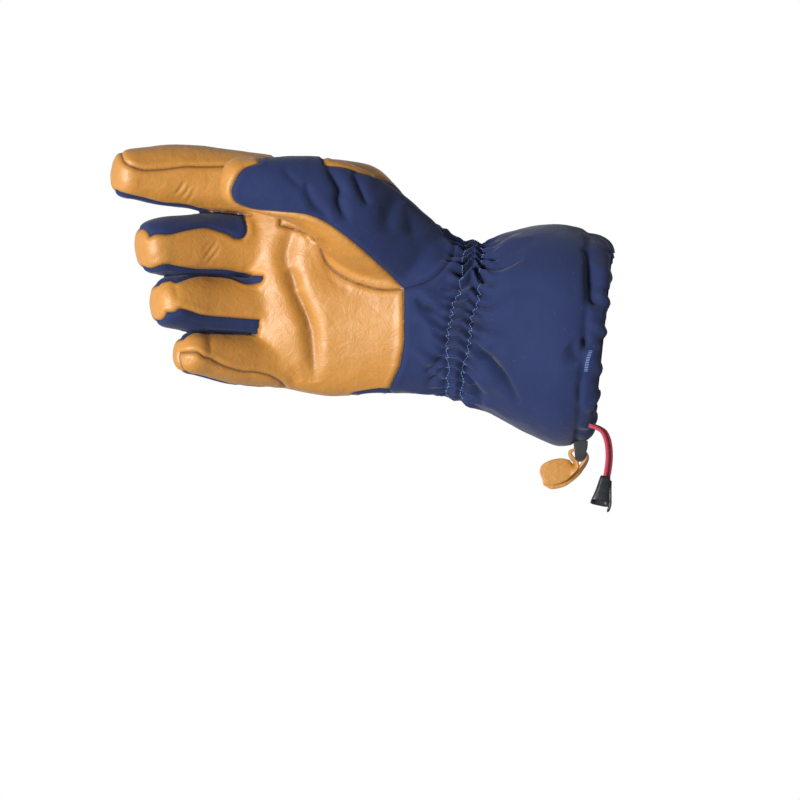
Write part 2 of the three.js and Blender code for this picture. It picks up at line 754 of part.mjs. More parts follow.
function cordEndLoft(rows, trim) {
  const sideways = new THREE.Vector3(0, 1, 0).cross(CORD_END_AXIS);
  const corner = CORD_END_CORNER;
  const outline = [
    [-1, -1 + corner], [-1, 1 - corner], [-1 + corner, 1], [1 - corner, 1],
    [1, 1 - corner], [1, -1 + corner], [1 - corner, -1], [-1 + corner, -1],
  ];
  return solid(skin(rows.map((row) => outline.map(([u, v]) => CORD_END_TOP.clone()
    .addScaledVector(CORD_END_AXIS, row.at)
    .addScaledVector(sideways, u * (row.wide / 2 - trim))
    .add(new THREE.Vector3(0, v * (row.deep / 2 - trim), 0))))));
}

const lip = cordEndLoft(CORD_END_LIP, 0)
  .intersect(box(LIP_START_X, OUTSIDE, -OUTSIDE, OUTSIDE, -OUTSIDE, BELOW));
let cordEnd = cordEndLoft(CORD_END, 0).add(lip).subtract(cordEndLoft(CORD_END_MOUTH, CORD_END_WALL));
for (const side of [-1, 1]) {
  const bore = solid(strand(side, CORD_DIAMETER + 2 * SEAM_GAP));
  cordEnd = cordEnd.subtract(bore);
  hem = hem.subtract(bore);
}

// A flat strap: a band of one thickness along a path, as wide as given
function band(path, thickness, width, place) {
  const middle = path.length;
  const shape = new THREE.Shape();
  const sides = [1, -1].map((side) => path.map((point, i) => {
    const before = path[Math.max(i - 1, 0)];
    const after = path[Math.min(i + 1, middle - 1)];
    const [dx, dy] = [after[0] - before[0], after[1] - before[1]];
    const size = Math.hypot(dx, dy);
    const off = (side * thickness) / 2 / size;
    return new THREE.Vector2(point[0] - dy * off, point[1] + dx * off);
  }));
  shape.setFromPoints([...sides[0], ...sides[1].reverse()]);
  const geometry = new THREE.ExtrudeGeometry(shape, { depth: width, bevelEnabled: false });
  geometry.translate(0, 0, -width / 2);
  geometry.applyMatrix4(place);
  return solid(geometry);
}

// Webbing loop: goes down from the cuff in front, round and up behind
const LOOP_CENTRE = { x: -10.8, y: -6 };
const LOOP_WIDTH = 6.4;
const LOOP_HALF_DEPTH = 3.9;
const LOOP_TOP = -48;
const LOOP_STRAIGHT_END = -57.8;
const LOOP_STEPS = 8;
const loopPath = [[-LOOP_HALF_DEPTH, LOOP_TOP]];
for (let i = 0; i <= LOOP_STEPS; i += 1) {
  const turn = (Math.PI * i) / LOOP_STEPS;
  loopPath.push([
    -LOOP_HALF_DEPTH * Math.cos(turn),
    LOOP_STRAIGHT_END - LOOP_HALF_DEPTH * Math.sin(turn),
  ]);
}
loopPath.push([LOOP_HALF_DEPTH, LOOP_TOP]);
const loopPlace = new THREE.Matrix4().set(
  0, 0, 1, LOOP_CENTRE.x,
  1, 0, 0, LOOP_CENTRE.y,
  0, 1, 0, 0,
  0, 0, 0, 1,
);

// The loop stops just under the cuff, on the cuff's own form moved down by a gap
const cuffRings = outerRings.map((ring) => ring.map((p) => new THREE.Vector3(p.x, p.y, p.z - SEAM_GAP)));
const loopBand = band(loopPath, WEBBING_THICKNESS, LOOP_WIDTH, loopPlace)
  .subtract(solid(skin(cuffRings)));

// Pull tab: a strap through the webbing loop whose ends make a rounded paddle
const TAB_WIDTH = 4.4;
const TAB_SEGMENTS = 8;
const PADDLE_SIDES = 22;
const tabPlace = new THREE.Matrix4().set(
  1, 0, 0, 0,
  0, 0, -1, LOOP_CENTRE.y,
  0, 1, 0, 0,
  0, 0, 0, 1,
);
const TAB_RING = { x: -11.2, z: -62.2, halfWide: 5.6, halfHigh: 4.3 };
function tabLoop() {
  const outer = new THREE.Shape();
  outer.absellipse(
    TAB_RING.x, TAB_RING.z,
    TAB_RING.halfWide + TAB_THICKNESS / 2, TAB_RING.halfHigh + TAB_THICKNESS / 2,
    0, 2 * Math.PI,
  );
  const inner = new THREE.Path();
  inner.absellipse(
    TAB_RING.x, TAB_RING.z,
    TAB_RING.halfWide - TAB_THICKNESS / 2, TAB_RING.halfHigh - TAB_THICKNESS / 2,
    0, 2 * Math.PI,
  );
  outer.holes.push(inner);
  const geometry = new THREE.ExtrudeGeometry(outer, {
    depth: TAB_WIDTH,
    bevelEnabled: false,
    curveSegments: TAB_SEGMENTS,
  });
  geometry.translate(0, 0, -TAB_WIDTH / 2);
  geometry.applyMatrix4(tabPlace);
  return solid(geometry);
}
const PADDLE = { x: -22.6, z: -67, halfLong: 9.2, halfWide: 6.2, tilt: 0.32 };
function paddle() {
  const outline = new THREE.Shape();
  for (let i = 0; i < PADDLE_SIDES; i += 1) {
    const turn = (2 * Math.PI * i) / PADDLE_SIDES;
    const u = PADDLE.halfLong * rounded(Math.cos(turn), PADDLE_SQUARENESS);
    const v = PADDLE.halfWide * rounded(Math.sin(turn), PADDLE_SQUARENESS);
    const x = PADDLE.x + u * Math.cos(PADDLE.tilt) - v * Math.sin(PADDLE.tilt);
    const z = PADDLE.z + u * Math.sin(PADDLE.tilt) + v * Math.cos(PADDLE.tilt);
    if (i === 0) outline.moveTo(x, z);
    else outline.lineTo(x, z);
  }
  outline.closePath();
  const geometry = new THREE.ExtrudeGeometry(outline, {
    depth: 2 * TAB_THICKNESS,
    bevelEnabled: false,
  });
  geometry.translate(0, 0, -TAB_THICKNESS);
  geometry.applyMatrix4(tabPlace);
  return solid(geometry);
}
const tab = tabLoop().add(paddle());

pieces.cuff_hem = hem;
pieces.webbing_loop = loopBand;
pieces.pull_tab = tab;
pieces.cord_end = cordEnd;

const LEATHER = { color: 0xd9a05a, roughness: 0.55, metalness: 0 };
const SOFTSHELL = { color: 0x323c64, roughness: 0.8, metalness: 0 };
const CORD = { color: 0xb01838, roughness: 0.6, metalness: 0 };
const PLASTIC = { color: 0x17181c, roughness: 0.4, metalness: 0 };
const WEBBING = { color: 0x1a1b20, roughness: 0.85, metalness: 0 };
const FINISHES = {
  thumb_back: SOFTSHELL,
  thumb_leather: LEATHER,
  gauntlet: SOFTSHELL,
  index_side_leather: LEATHER,
  little_side_leather: LEATHER,
  fourchette_index_middle: SOFTSHELL,
  fourchette_middle_ring: SOFTSHELL,
  fourchette_ring_little: SOFTSHELL,
  palm_leather: LEATHER,
  hand_back: SOFTSHELL,
  cuff_hem: SOFTSHELL,
  webbing_loop: WEBBING,
  pull_tab: LEATHER,
  cord_end: PLASTIC,
};

const glove = new THREE.Group();

function add(name, geometry, finish) {
  const mesh = new THREE.Mesh(geometry, new THREE.MeshStandardMaterial(finish));
  mesh.name = name;
  glove.add(mesh);
}

for (const [name, finish] of Object.entries(FINISHES)) add(name, largestBody(pieces[name]), finish);
add('drawcord_front', strand(-1, CORD_DIAMETER), CORD);
add('drawcord_back', strand(1, CORD_DIAMETER), CORD);

export default glove;
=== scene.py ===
import math
from functools import partial

import bpy
import numpy as np
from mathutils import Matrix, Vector, noise
from mathutils.bvhtree import BVHTree
from mathutils.kdtree import KDTree


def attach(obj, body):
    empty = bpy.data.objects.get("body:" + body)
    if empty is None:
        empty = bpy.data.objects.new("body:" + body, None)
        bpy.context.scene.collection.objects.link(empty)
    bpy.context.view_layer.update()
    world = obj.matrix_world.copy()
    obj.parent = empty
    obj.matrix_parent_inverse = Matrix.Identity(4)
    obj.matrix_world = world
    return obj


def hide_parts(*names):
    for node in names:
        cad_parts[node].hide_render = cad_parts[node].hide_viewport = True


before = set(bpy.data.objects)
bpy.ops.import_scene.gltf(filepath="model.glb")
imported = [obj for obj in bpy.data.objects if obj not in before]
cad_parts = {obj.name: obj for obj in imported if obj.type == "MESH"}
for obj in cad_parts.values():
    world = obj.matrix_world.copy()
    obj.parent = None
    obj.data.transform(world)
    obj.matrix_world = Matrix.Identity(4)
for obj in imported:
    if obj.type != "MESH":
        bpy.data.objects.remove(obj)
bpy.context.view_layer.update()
scene = bpy.context.scene
MM = 0.001

# Camera, light and floor
# The camera looks along +Y at the palm side, one pixel to 0.53 mm at the glove. A
# large soft light stands in front at the left, as high as the glove, in a white
# room that is dimmer overhead, at the right and in front.
VIEW_WIDTH = 0.424
CAMERA_DISTANCE = 2.5
camera_data = bpy.data.cameras.new("camera")
camera_data.lens = camera_data.sensor_width * CAMERA_DISTANCE / VIEW_WIDTH
camera_data.clip_start = 0.05
camera_data.clip_end = 60
camera = bpy.data.objects.new("camera", camera_data)
camera.location = (-0.106, -CAMERA_DISTANCE, -0.02915)
camera.rotation_euler = (math.pi / 2, 0, 0)
scene.collection.objects.link(camera)
scene.camera = camera
scene.view_settings.view_transform = "Standard"


def area_light(name, location, target, size, power):
    """A square soft light that faces a target."""
    data = bpy.data.lights.new(name, "AREA")
    data.size = size
    data.energy = power
    light = bpy.data.objects.new(name, data)
    light.location = location
    aim = np.array(target, float) - np.array(location, float)
    from_z = np.array([0, 0, -1.0])
    axis = np.cross(from_z, aim / np.linalg.norm(aim))
    angle = math.acos(float(from_z @ aim) / np.linalg.norm(aim))
    light.rotation_mode = "AXIS_ANGLE"
    light.rotation_axis_angle = (angle, *axis)
    scene.collection.objects.link(light)


area_light("key", (-1.48, -1.86, -0.12), target=(-0.12, 0, 0), size=0.7, power=108)
world = bpy.data.worlds.new("studio")
scene.world = world
world.use_nodes = True


def linear(colour):
    """An sRGB colour, written as hex, in linear light."""
    parts = [int(colour[i:i + 2], 16) / 255 for i in (1, 3, 5)]
    return [c / 12.92 if c <= 0.04045 else ((c + 0.055) / 1.055) ** 2.4 for c in parts] + [1.0]


def fill(node, inputs):
    """Links or sets a node's inputs by name or number. A node stands for its first
    output in use, and a colour is written as hex."""
    for name, value in inputs.items():
        if isinstance(value, bpy.types.Node):
            value = next(output for output in value.outputs if output.enabled)
        if isinstance(value, bpy.types.NodeSocket):
            node.id_data.links.new(value, node.inputs[name])
        elif isinstance(value, str) and value.startswith("#"):
            node.inputs[name].default_value = linear(value)
        else:
            node.inputs[name].default_value = value


def add_node(tree, kind, inputs=None, **settings):
    """Adds a node, a shader node unless its kind says otherwise, and fills its inputs."""
    node = tree.nodes.new(kind if "Node" in kind else f"ShaderNode{kind}")
    for name, value in settings.items():
        setattr(node, name, value)
    fill(node, inputs or {})
    return node


sky = partial(add_node, world.node_tree)
direction = sky("SeparateXYZ", {0: sky("TexCoord").outputs["Generated"]})
strength = 1.0
for axis, start, end, first, last in (
    ("Z", 0.12, 0.7, 1.0, 0.5), ("X", 0.2, 0.8, 1.0, 0.65), ("Y", -0.8, 0.1, 0.6, 1.0),
):
    share = sky("MapRange", {
        "Value": direction.outputs[axis], "From Min": start, "From Max": end, "To Min": first, "To Max": last,
    }, interpolation_type="SMOOTHSTEP")
    strength = sky("Math", {0: strength, 1: share}, operation="MULTIPLY")
fill(world.node_tree.nodes["Background"], {"Color": "#ffffff", "Strength": strength})


def new_material(name, roughness, specular=0.5, sheen=0.0):
    """A material, a function that adds nodes to it, and its shader."""
    material = bpy.data.materials.new(name)
    material.use_nodes = True
    shader = material.node_tree.nodes["Principled BSDF"]
    fill(shader, {"Roughness": roughness, "Specular IOR Level": specular, "Sheen Weight": sheen})
    return material, partial(add_node, material.node_tree), shader


def mesh_object(name, vertices, faces, material, uv=None):
    """A smooth mesh object. uv holds one pair for each corner of each face."""
    mesh = bpy.data.meshes.new(name)
    mesh.from_pydata([tuple(v) for v in vertices], [], [tuple(int(i) for i in f) for f in faces])
    mesh.materials.append(material)
    mesh.polygons.foreach_set("use_smooth", [True] * len(mesh.polygons))
    if uv is not None:
        layer = mesh.uv_layers.new(name="UVMap")
        layer.data.foreach_set("uv", np.asarray(uv, np.float32).ravel())
    mesh.update()
    made = bpy.data.objects.new(name, mesh)
    scene.collection.objects.link(made)
    return made


def floor_paint():
    """Matt studio paint: pale, with a faint mottle about 80 mm across."""
    material, add, shader = new_material("floor_paint", 0.9, specular=0.1)
    mottle = add("TexNoise", {"Vector": add("TexCoord").outputs["Object"], "Scale": 1 / 0.08})
    fill(shader, {"Base Color": add("Mix", {"Factor": mottle, 6: "#ececec", 7: "#e6e6e6"}, data_type="RGBA")})
    return material


FLOOR_Z = -0.30
FLOOR_HALF = 0.55
FLOOR_X = -0.12
corners = [(-1, -1), (1, -1), (1, 1), (-1, 1)]
floor = mesh_object(
    "floor", [(x * FLOOR_HALF + FLOOR_X, y * FLOOR_HALF, FLOOR_Z) for x, y in corners],
    [(0, 1, 2, 3)], floor_paint(),
)

# Drawcord and cord end
# One doubled crimson elastic cord, 2 mm thick with a braided cover, leaves the
# hem at its lower corner, arcs down and goes into a tapered black plastic cord
# end with an open mouth and a lever. Each strand is a tube along its own route.
CORD_DIAMETER = 0.002
STRAND_OFFSET = 0.001
CORD_ROUTE = [
    (-0.0055, -0.026, -0.0425),
    (-0.0022, -0.0285, -0.0438),
    (0.001, -0.0295, -0.0462),
    (0.003, -0.0295, -0.0515),
    (0.0036, -0.0292, -0.059),
    (0.0029, -0.029, -0.066),
    (0.0019, -0.029, -0.071),
    (0.001, -0.029, -0.076),
]


def curve_values(keys, values, at):
    """Smooth values through rows of a table, at any places between its keys."""
    keys, values, at = (np.asarray(x, float) for x in (keys, values, at))
    order = np.arange(len(keys))
    low, high = np.maximum(order - 1, 0), np.minimum(order + 1, len(keys) - 1)
    slope = (values[high] - values[low]) / (keys[high] - keys[low])[:, None]
    i = np.clip(np.searchsorted(keys, at), 1, len(keys) - 1)
    span = (keys[i] - keys[i - 1])[:, None]
    t = np.clip((at - keys[i - 1])[:, None] / span, 0, 1)
    eased = values[i - 1] + (values[i] - values[i - 1]) * t * t * (3 - 2 * t)
    return eased + t * (1 - t) ** 2 * span * slope[i - 1] - t * t * (1 - t) * span * slope[i]


def spline(points, count):
    """A smooth line of so many points through the given ones."""
    points = np.asarray(points, float)
    return curve_values(np.arange(len(points)), points, np.linspace(0, len(points) - 1, count))


def run_along(points):
    """How far along their line each point lies."""
    return np.concatenate([[0], np.cumsum(np.linalg.norm(np.diff(points, axis=0), axis=1))])


def places_along(points, wanted):
    """The places on a line at wanted distances along it."""
    run = run_along(points)
    return np.stack([np.interp(wanted, run, column) for column in points.T], axis=1)


def normalised(vectors):
    return vectors / np.maximum(np.linalg.norm(vectors, axis=-1, keepdims=True), 1e-12)


def path_frames(path):
    """Side and up directions along a path, carried on without twist."""
    forward = normalised(np.gradient(path, axis=0))
    side = np.zeros_like(path)
    start = np.cross(forward[0], (0, 1, 0))
    for i, ahead in enumerate(forward):
        start = start - ahead * (start @ ahead)
        start = start / np.linalg.norm(start)
        side[i] = start
    return side, np.cross(forward, side)


def superellipse(sides, squareness):
    """Cosine and sine round a section, which is a circle at 2 and squarer above."""
    turns = np.linspace(0, 2 * math.pi, sides, endpoint=False)
    return [np.sign(f(turns)) * np.abs(f(turns)) ** (2 / squareness) for f in (np.cos, np.sin)]


def read_mesh(mesh):
    """Vertices and triangles of a mesh as arrays."""
    mesh.calc_loop_triangles()
    points = np.zeros(len(mesh.vertices) * 3, np.float32)
    mesh.vertices.foreach_get("co", points)
    triangles = np.zeros(len(mesh.loop_triangles) * 3, np.int32)
    mesh.loop_triangles.foreach_get("vertices", triangles)
    return points.reshape(-1, 3).astype(float), triangles.reshape(-1, 3)


def ring_skin(rings):
    """Vertices and faces of a skin over rings of points, with a fan at either end."""
    count, sides = rings.shape[:2]
    start, end = 0, (count - 1) * sides
    faces, fans = [], []
    for j in range(sides):
        n = (j + 1) % sides
        fans += [(start + j, start + n, count * sides), (end + n, end + j, count * sides + 1)]
    for a in range(start, end, sides):
        for j in range(sides):
            n = (j + 1) % sides
            faces.append((a + j, a + sides + j, a + sides + n, a + n))
    return np.concatenate([rings.reshape(-1, 3), [rings[0].mean(0), rings[-1].mean(0)]]), faces + fans


def loft(name, rings, material):
    """A closed piece over rings of points, with a UV in metres: round, then along."""
    rings = np.asarray(rings, float)
    round_steps = np.linalg.norm(np.diff(rings, axis=1, append=rings[:, :1]), axis=2).mean(0)
    along_steps = np.linalg.norm(np.diff(rings, axis=0), axis=2).mean(1)
    u, v = (np.concatenate([[0], np.cumsum(steps)]) for steps in (round_steps, along_steps))
    uv = []
    for i in range(len(v) - 1):
        for j in range(len(u) - 1):
            uv += [(u[j], v[i]), (u[j], v[i + 1]), (u[j + 1], v[i + 1]), (u[j + 1], v[i])]
    for j in range(len(u) - 1):
        uv += [(u[j], 0), (u[j + 1], 0), (u[j], MM), (u[j + 1], v[-1]), (u[j], v[-1]), (u[j], v[-1])]
    made = mesh_object(name, *ring_skin(rings), material, uv)
    points, triangles = read_mesh(made.data)
    p, q, r = (points[triangles[:, k]] for k in range(3))
    if (p * np.cross(q, r)).sum() < 0:
        made.data.flip_normals()
    return made


def waves(add, turns, operation):
    """Two waves over the UV, each with its turns in a metre round and along, as one."""
    split = add("SeparateXYZ", {"Vector": add("UVMap").outputs["UV"]})
    made = []
    for across, along in turns:
        run = add("Math", {0: split.outputs["X"], 1: 2 * math.pi * across}, operation="MULTIPLY")
        both = add("Math", {0: split.outputs["Y"], 1: 2 * math.pi * along, 2: run}, operation="MULTIPLY_ADD")
        made.append(add("Math", {0: both}, operation="SINE"))
    return add("Math", {0: made[0], 1: made[1]}, operation=operation)


def braided_cord():
    """Braided elastic cover: crimson, two crossing sets of plaits about 0.6 mm wide,
    darker between the plaits as painted shade, with a soft textile sheen."""
    material, add, shader = new_material("crimson_braided_cord", 0.62, specular=0.35, sheen=0.25)
    across, along = 1 / 0.00105, 1 / 0.0013
    plaits = waves(add, [(across, along), (-across, along)], "MAXIMUM")
    shade = add("MapRange", {"Value": plaits, "From Min": -0.6, "From Max": 0.9})
    fill(shader, {
        # The darker crimson between the plaits is painted shade.
        "Base Color": add("Mix", {"Factor": shade, 6: "#6a0c22", 7: "#a31c3a"}, data_type="RGBA"),
        "Normal": add("Bump", {"Height": shade, "Strength": 0.6, "Distance": 0.00015}),
    })
    return material


def moulded_plastic():
    """Moulded satin plastic: near black, with a fine spark-eroded grain of 0.3 mm
    and a few faint scuffs that dull the gloss."""
    material, add, shader = new_material("black_moulded_plastic", 0.34, specular=0.35)
    place = add("TexCoord").outputs["Object"]
    grain = add("TexNoise", {"Vector": place, "Scale": 1 / 0.0003, "Detail": 2.0})
    scuff = add("TexNoise", {"Vector": place, "Scale": 1 / 0.003, "Detail": 4.0})
    fill(shader, {
        "Base Color": add("Mix", {"Factor": scuff, 6: "#0e0f13", 7: "#1b1d23"}, data_type="RGBA"),
        "Roughness": add("MapRange", {
            "Value": scuff, "From Min": 0.35, "From Max": 0.75, "To Min": 0.26, "To Max": 0.5,
        }),
        "Normal": add("Bump", {"Height": grain, "Strength": 0.25, "Distance": 0.00005}),
    })
    return material


cord_material = braided_cord()
plastic = moulded_plastic()
for label, side in (("front", -1), ("back", 1)):
    fine = spline([(x + side * STRAND_OFFSET, y + side * STRAND_OFFSET, z) for x, y, z in CORD_ROUTE], 400)
    strand_length = run_along(fine)[-1]
    path = places_along(fine, np.linspace(0, strand_length, 40))
    across, up = path_frames(path)
    c, s = superellipse(16, 2)
    rings = path[:, None] + CORD_DIAMETER / 2 * (c[:, None] * across[:, None] + s[:, None] * up[:, None])
    strand = loft(f"drawcord_{label}_braid", rings, cord_material)
    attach(strand, "root")
    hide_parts(f"drawcord_{label}")

CORD_END_TOP = np.array((0.0017, -0.029, -0.069))
CORD_END_AXIS = normalised(np.array((-0.2, 0, -0.98)))
CORD_END_SIDE = np.cross((0, 1, 0), CORD_END_AXIS)


def rounded_ring(at, wide, deep, shift=0.0, squareness=4.0, sides=40, slant=0.0):
    """A rounded rectangle across the cord end's axis; sizes in millimetres. A slanted
    one is higher in front, so that the mouth opens towards the viewer."""
    c, s = superellipse(sides, squareness)
    u, v = c * wide / 2 + shift, s * deep / 2
    along = (at + slant * v)[:, None] * CORD_END_AXIS
    return CORD_END_TOP + MM * (along + u[:, None] * CORD_END_SIDE + v[:, None] * np.array((0, 1.0, 0)))


MOUTH_SLANT = 0.4
body_rings = [rounded_ring(at, wide, deep, slant=MOUTH_SLANT if at > 9 else 0) for at, wide, deep in (
    (0.5, 1.4, 1.4), (0.1, 3.6, 4.0), (0.0, 4.6, 5.0), (0.35, 5.3, 5.7), (2.0, 5.8, 6.2), (8.0, 7.4, 6.8),
    (12.5, 9.4, 7.2), (14.0, 10.1, 7.4), (14.5, 10.2, 7.2), (14.6, 9.6, 6.8), (14.4, 8.7, 6.0),
    (13.4, 8.2, 5.6), (11.0, 7.0, 5.0), (9.8, 6.0, 4.4), (9.5, 3.4, 2.6),
)]
cord_end = loft("cord_end_body", body_rings, plastic)
lever_rings = [rounded_ring(at, wide, deep, shift, 3.0, 24) for at, wide, deep, shift in (
    (1.6, 0.6, 2.4, -2.9), (2.0, 1.3, 3.4, -3.1), (6.0, 1.5, 4.4, -3.7), (10.0, 1.6, 5.0, -4.5),
    (13.5, 1.7, 5.2, -5.2), (16.0, 1.6, 5.0, -5.2), (17.6, 1.4, 4.4, -4.9), (18.3, 0.7, 3.0, -4.8),
)]
lever = loft("cord_end_lever", lever_rings, plastic)
for piece in (cord_end, lever):
    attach(piece, "root")
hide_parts("cord_end")

# Shell of the glove
# Insulated hand, five digits, wrist and cuff: lofts through tables of sections,
# joined to one even skin that is smoothed where they meet. The skin is cut into
# its leather and softshell panels exactly along the seams.
HAND_SQUARENESS = 2.5
CUFF_SQUARENESS = 2.1
DIGIT_SQUARENESS = 2.3
HAND = np.array([  # x, top, bottom, front, back, in millimetres as in all these tables
    (-187, 84, -10, -9, 11), (-184, 92, -17, -15, 16), (-176, 95, -21, -20, 19),
    (-162, 97, -24, -22, 21), (-146, 98, -26.5, -22.5, 23), (-130, 97, -26.5, -23, 25),
    (-117, 93.3, -25.5, -24, 27), (-105, 80.5, -26, -25, 29), (-94, 68.5, -26.5, -28, 31),
    (-83, 60, -27, -31, 34), (-70, 56, -31, -33, 36), (-60, 54, -35.5, -36, 39),
    (-50, 58.5, -41, -41, 43), (-36, 63, -48, -46, 48), (-20, 64, -53.5, -50, 51),
    (-7, 60, -52, -50, 51), (0, 54.5, -49.5, -48.5, 49.5),
])
DIGITS = {  # x, y, z of the middle line, half width across the hand, half depth
    "index": [
        (-150, 2, 79, 17, 16), (-175, -1, 83, 17, 16), (-195, -5, 86.2, 17, 15.5),
        (-215, -9.5, 88.2, 16.8, 15), (-233, -16, 89.2, 15.6, 14), (-246, -21.5, 89.7, 13.4, 12.4),
    ],
    "middle": [
        (-150, 2, 48.5, 16, 16), (-175, -1.5, 51.2, 16.2, 16), (-195, -7, 52.8, 16.2, 15.5),
        (-212, -14.5, 53, 16, 15), (-223.5, -21, 52.2, 15.7, 14.4), (-231.5, -25.5, 51.4, 14.8, 13.6),
    ],
    "ring": [
        (-150, 2, 19, 15.3, 16), (-173, -2, 19.7, 15.2, 15.8), (-191, -8, 20.6, 15.2, 15.2),
        (-206, -15.5, 21.2, 15, 14.6), (-216.5, -22.5, 21.6, 14.6, 14), (-224, -27.5, 21.6, 13.8, 13.2),
    ],
    "little": [
        (-150, 2, -9, 13.5, 15), (-170, -2.5, -9.2, 13.5, 14.5), (-185, -9, -8.2, 13.4, 14),
        (-197, -16, -7.2, 12.9, 13.4), (-206, -22.5, -6, 11.9, 12.6), (-213, -28, -5.2, 11, 11.8),
    ],
    "thumb": [
        (-88, 2, 42, 19, 18), (-104, -8, 50, 22, 20), (-120, -18, 60, 24.7, 20.5),
        (-136, -27, 71, 23.5, 18.5), (-152, -34, 79, 19.5, 15.5), (-170, -37.5, 82.2, 15.8, 14),
        (-187, -38.5, 84, 14, 12.8),
    ],
}
DOMES = {"index": 11.8, "middle": 13, "ring": 12.5, "little": 11, "thumb": 13.3}
TIP_SQUARENESS = 2.6
LIP_X = 3.5
LIP_TURN_IN = 6
RING_STEP = 1.5
VOXEL = 1.1
SMOOTHING_ROUNDS = 16
CUFF_START = -92
CUFF_BLEND = 16
DIGIT_DETAIL = 14
DOME_RINGS = 15


def hand_section(x):
    """Middle y and z, half depth, half height and squareness of the hand at x."""
    top, bottom, front, back = curve_values(HAND[:, 0], HAND[:, 1:], x).T
    blend = np.clip((x - CUFF_START) / CUFF_BLEND, 0, 1)
    squareness = HAND_SQUARENESS + (CUFF_SQUARENESS - HAND_SQUARENESS) * blend
    return (front + back) / 2, (top + bottom) / 2, (back - front) / 2, (top - bottom) / 2, squareness


def hand_ring(x, inward=0.0, sides=160):
    """One ring of the hand or cuff at x, moved inward by so many millimetres."""
    middle_y, middle_z, deep, high, squareness = (float(v[0]) for v in hand_section(np.array([float(x)])))
    c, s = superellipse(sides, squareness)
    return np.stack([
        np.full(sides, float(x)), middle_y - (deep - inward) * s, middle_z + (high - inward) * c,
    ], axis=1)


def digit_frames(name, stations):
    """Middle points, directions and half sizes of a digit at stations between its rows."""
    rows = np.array(DIGITS[name], float)
    keys = np.arange(len(rows))
    values = curve_values(keys, rows, stations)
    ahead = curve_values(keys, rows[:, :3], np.minimum(stations + 0.05, len(rows) - 1))
    behind = curve_values(keys, rows[:, :3], np.maximum(stations - 0.05, 0))
    forward = normalised(ahead - behind)
    side = np.array((0, 0, 1.0)) - forward * forward[:, 2:3]
    side = normalised(side)
    return values[:, :3], forward, side, np.cross(forward, side), values[:, 3], values[:, 4]


def digit_rings(name, sides=72):
    """The rings of a digit from its root to its domed tip."""
    last = len(DIGITS[name]) - 1
    stations = np.linspace(0, last, last * DIGIT_DETAIL + 1)
    c, s = superellipse(sides, DIGIT_SQUARENESS)
    rings = []
    centre, forward, side, back, wide, deep = digit_frames(name, stations)
    for i in range(len(stations)):
        rings.append(centre[i] + wide[i] * s[:, None] * side[i] - deep[i] * c[:, None] * back[i])
    for rise in np.linspace(0, math.pi / 2, DOME_RINGS)[1:]:
        scale = max(math.cos(rise), 0.002) ** (2 / TIP_SQUARENESS)
        tip = centre[-1] + forward[-1] * DOMES[name] * math.sin(rise) ** (2 / TIP_SQUARENESS)
        rings.append(tip + scale * (wide[-1] * s[:, None] * side[-1] - deep[-1] * c[:, None] * back[-1]))
    return rings


def joined_skin():
    """All lofts as one even skin of voxels, in millimetres."""
    parts = [[hand_ring(x) for x in np.arange(HAND[0, 0], 0.1, RING_STEP)]]
    for rise in np.linspace(0, math.pi / 2, 6)[1:]:
        x = LIP_X * math.sin(rise)
        parts[0].append(hand_ring(x, LIP_TURN_IN * (1 - math.cos(rise))))
    parts += [digit_rings(name) for name in DIGITS]
    vertices, faces = [], []
    for rings in parts:
        corners, made = ring_skin(np.asarray(rings))
        faces += [[len(vertices) + i for i in face] for face in made]
        vertices += list(corners)
    source = mesh_object("shell_source", vertices, faces, plastic)
    source.data.materials.clear()
    remesh = source.modifiers.new("remesh", "REMESH")
    remesh.mode = "VOXEL"
    remesh.voxel_size = VOXEL
    remesh.adaptivity = 0.0
    evaluated = source.evaluated_get(bpy.context.evaluated_depsgraph_get())
    points, triangles = read_mesh(evaluated.to_mesh())
    evaluated.to_mesh_clear()
    bpy.data.objects.remove(source)
    return points, triangles


def edges_of(triangles):
    """The distinct edges of some triangles, lower vertex first."""
    pairs = np.sort(triangles[:, [0, 1, 1, 2, 2, 0]].reshape(-1, 2), axis=1)
    return np.unique(pairs, axis=0)


def smoothed(points, triangles, rounds, weight=0.5):
    """Moves each point towards the mean of its neighbours, some rounds."""
    a, b = edges_of(triangles).T
    degree = np.bincount(a, minlength=len(points)) + np.bincount(b, minlength=len(points))
    for _ in range(rounds):
        total = np.stack([
            np.bincount(a, points[b, k], len(points)) + np.bincount(b, points[a, k], len(points))
            for k in range(points.shape[1])
        ], axis=1)
        points = points + weight * (total / np.maximum(degree, 1)[:, None] - points)
    return points


def vertex_normals(points, triangles):
    """Outward directions at the points, weighted by the triangles' areas."""
    p, q, r = (points[triangles[:, k]] for k in range(3))
    face = np.cross(q - p, r - p)
    total = np.stack([
        sum(np.bincount(triangles[:, k], face[:, axis], len(points)) for k in range(3))
        for axis in range(3)
    ], axis=1)
    return normalised(total)


